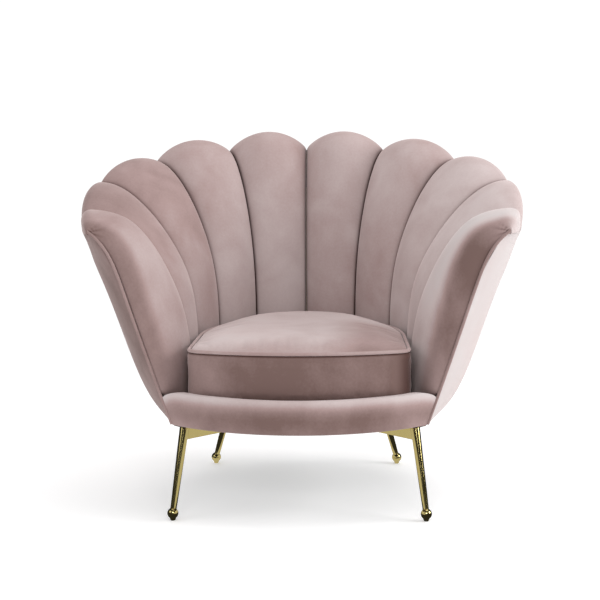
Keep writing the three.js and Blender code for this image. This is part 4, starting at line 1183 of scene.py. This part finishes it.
# Floor, light and camera, in metres. The camera's angles are its turn, tilt and roll in degrees.
WHITE = (1, 1, 1, 1)
FLOOR_RADIUS = 6
FLOOR_DROP = 0.0005
FLOOR_GLOW = 0.3
FLOOR_FADE = (1.3, 3.2)
CARD_GLOW = 0.75
ROOM_LIGHT = 0.62
METAL_ROOM_LIGHT = 0.04
SEEN_ROOM_LIGHT = 1.05
AIM = (0, 0, 0.45)
SOFTBOXES = [
    ("overhead", (0.2, 0.4, 3.0), (2.8, 2.4), 36),
    ("key", (3.0, -0.5, 1.5), (1.6, 1.6), 58),
    ("fill", (-2.4, -1.4, 1.6), (1.6, 1.6), 10),
    ("front", (0.2, -4.2, 2.2), (2.4, 1.4), 56),
]
LENS, SENSOR = 84.28, 36.0
CAMERA_PLACE = (0.1069, -3.2612, 0.8504)
CAMERA_ANGLES = (1.993, 7.2, -0.36)


def floor():
    """A white floor that fades into the white of the room."""
    bpy.ops.object.select_all(action="DESELECT")
    bpy.ops.mesh.primitive_circle_add(
        vertices=96, radius=FLOOR_RADIUS, fill_type="NGON", location=(0, 0, -FLOOR_DROP))
    ground = bpy.context.object
    ground.name = "studio_floor"
    finish = Finish("studio floor")
    reach = finish.value("ShaderNodeVectorMath", "Value", {"operation": "LENGTH"}, {0: finish.place()})
    colour = finish.blend(finish.noise(3), (0.86, 0.86, 0.865, 1), (0.88, 0.88, 0.88, 1))
    shader = finish.value("ShaderNodeBsdfPrincipled", "BSDF", None, {
        "Base Color": colour, "Roughness": 0.6, "Specular IOR Level": 0.1,
        "Emission Color": WHITE, "Emission Strength": FLOOR_GLOW})
    clear = finish.value("ShaderNodeBsdfTransparent", "BSDF")
    mix = finish.value("ShaderNodeMixShader", "Shader", None,
                       {0: finish.between(reach, *FLOOR_FADE), 1: shader, 2: clear})
    finish.node("ShaderNodeOutputMaterial", None, {"Surface": mix})
    ground.data.materials.append(finish.material)
    ground.visible_glossy = False


def shine_card(name, size, place, turn=0):
    """A pale card that only the polish of the legs reflects."""
    bpy.ops.object.select_all(action="DESELECT")
    bpy.ops.mesh.primitive_plane_add(size=1, rotation=(0, turn, 0))
    card = bpy.context.object
    card.name = name
    card.scale = (*size, 1)
    card.location = place
    bpy.ops.object.transform_apply(location=True, rotation=True, scale=True)
    finish = Finish(name)
    glow = finish.value("ShaderNodeEmission", "Emission", None,
                        {"Color": (1, 0.98, 0.94, 1), "Strength": CARD_GLOW})
    finish.node("ShaderNodeOutputMaterial", None, {"Surface": glow})
    card.data.materials.append(finish.material)
    card.visible_camera = card.visible_diffuse = False
    card.visible_shadow = card.visible_transmission = False


def softbox(name, place, size, power):
    lamp = bpy.data.lights.new(name, "AREA")
    lamp.shape = "RECTANGLE"
    lamp.size, lamp.size_y = size
    lamp.energy = power
    light = new_object(name, lamp)
    light.location = place
    light.rotation_mode = "QUATERNION"
    light.rotation_quaternion = (Vector(AIM) - Vector(place)).to_track_quat("-Z", "Y")


def studio():
    """A white room where the camera looks past the chair, dimmer on the velvet and dark in the metal."""
    world = bpy.data.worlds.new("studio")
    bpy.context.scene.world = world
    world.use_nodes = True
    nodes, links = world.node_tree.nodes, world.node_tree.links
    path = nodes.new("ShaderNodeLightPath")
    shader = nodes["Background"]
    shader.inputs["Color"].default_value = WHITE
    shader.inputs["Strength"].default_value = ROOM_LIGHT
    for ray, strength in (("Is Glossy Ray", METAL_ROOM_LIGHT), ("Is Camera Ray", SEEN_ROOM_LIGHT)):
        room, mix = nodes.new("ShaderNodeBackground"), nodes.new("ShaderNodeMixShader")
        room.inputs["Color"].default_value = WHITE
        room.inputs["Strength"].default_value = strength
        links.new(path.outputs[ray], mix.inputs["Fac"])
        links.new(shader.outputs[0], mix.inputs[1])
        links.new(room.outputs[0], mix.inputs[2])
        shader = mix
    links.new(shader.outputs[0], nodes["World Output"].inputs["Surface"])
    for box in SOFTBOXES:
        softbox(*box)
    bpy.context.scene.view_settings.view_transform = "Standard"


def camera():
    lens = bpy.data.cameras.new("camera")
    lens.lens, lens.sensor_width = LENS, SENSOR
    eye = new_object("camera", lens)
    turn, tilt, roll = (math.radians(angle) for angle in CAMERA_ANGLES)
    ahead = Vector((-math.sin(turn) * math.cos(tilt), math.cos(turn) * math.cos(tilt), -math.sin(tilt)))
    level = Vector((math.cos(turn), math.sin(turn), 0))
    above = level.cross(ahead)
    right = level * math.cos(roll) + above * math.sin(roll)
    up = above * math.cos(roll) - level * math.sin(roll)
    eye.matrix_world = Matrix((right, up, -ahead)).transposed().to_4x4()
    eye.location = CAMERA_PLACE
    bpy.context.scene.camera = eye


floor()
shine_card("studio_card_upright", (0.2, 1.3), (0, -0.25, 0.101), math.radians(90))
shine_card("studio_card_flat", (0.7, 0.6), (0, 0.44, -0.001))
studio()
camera()
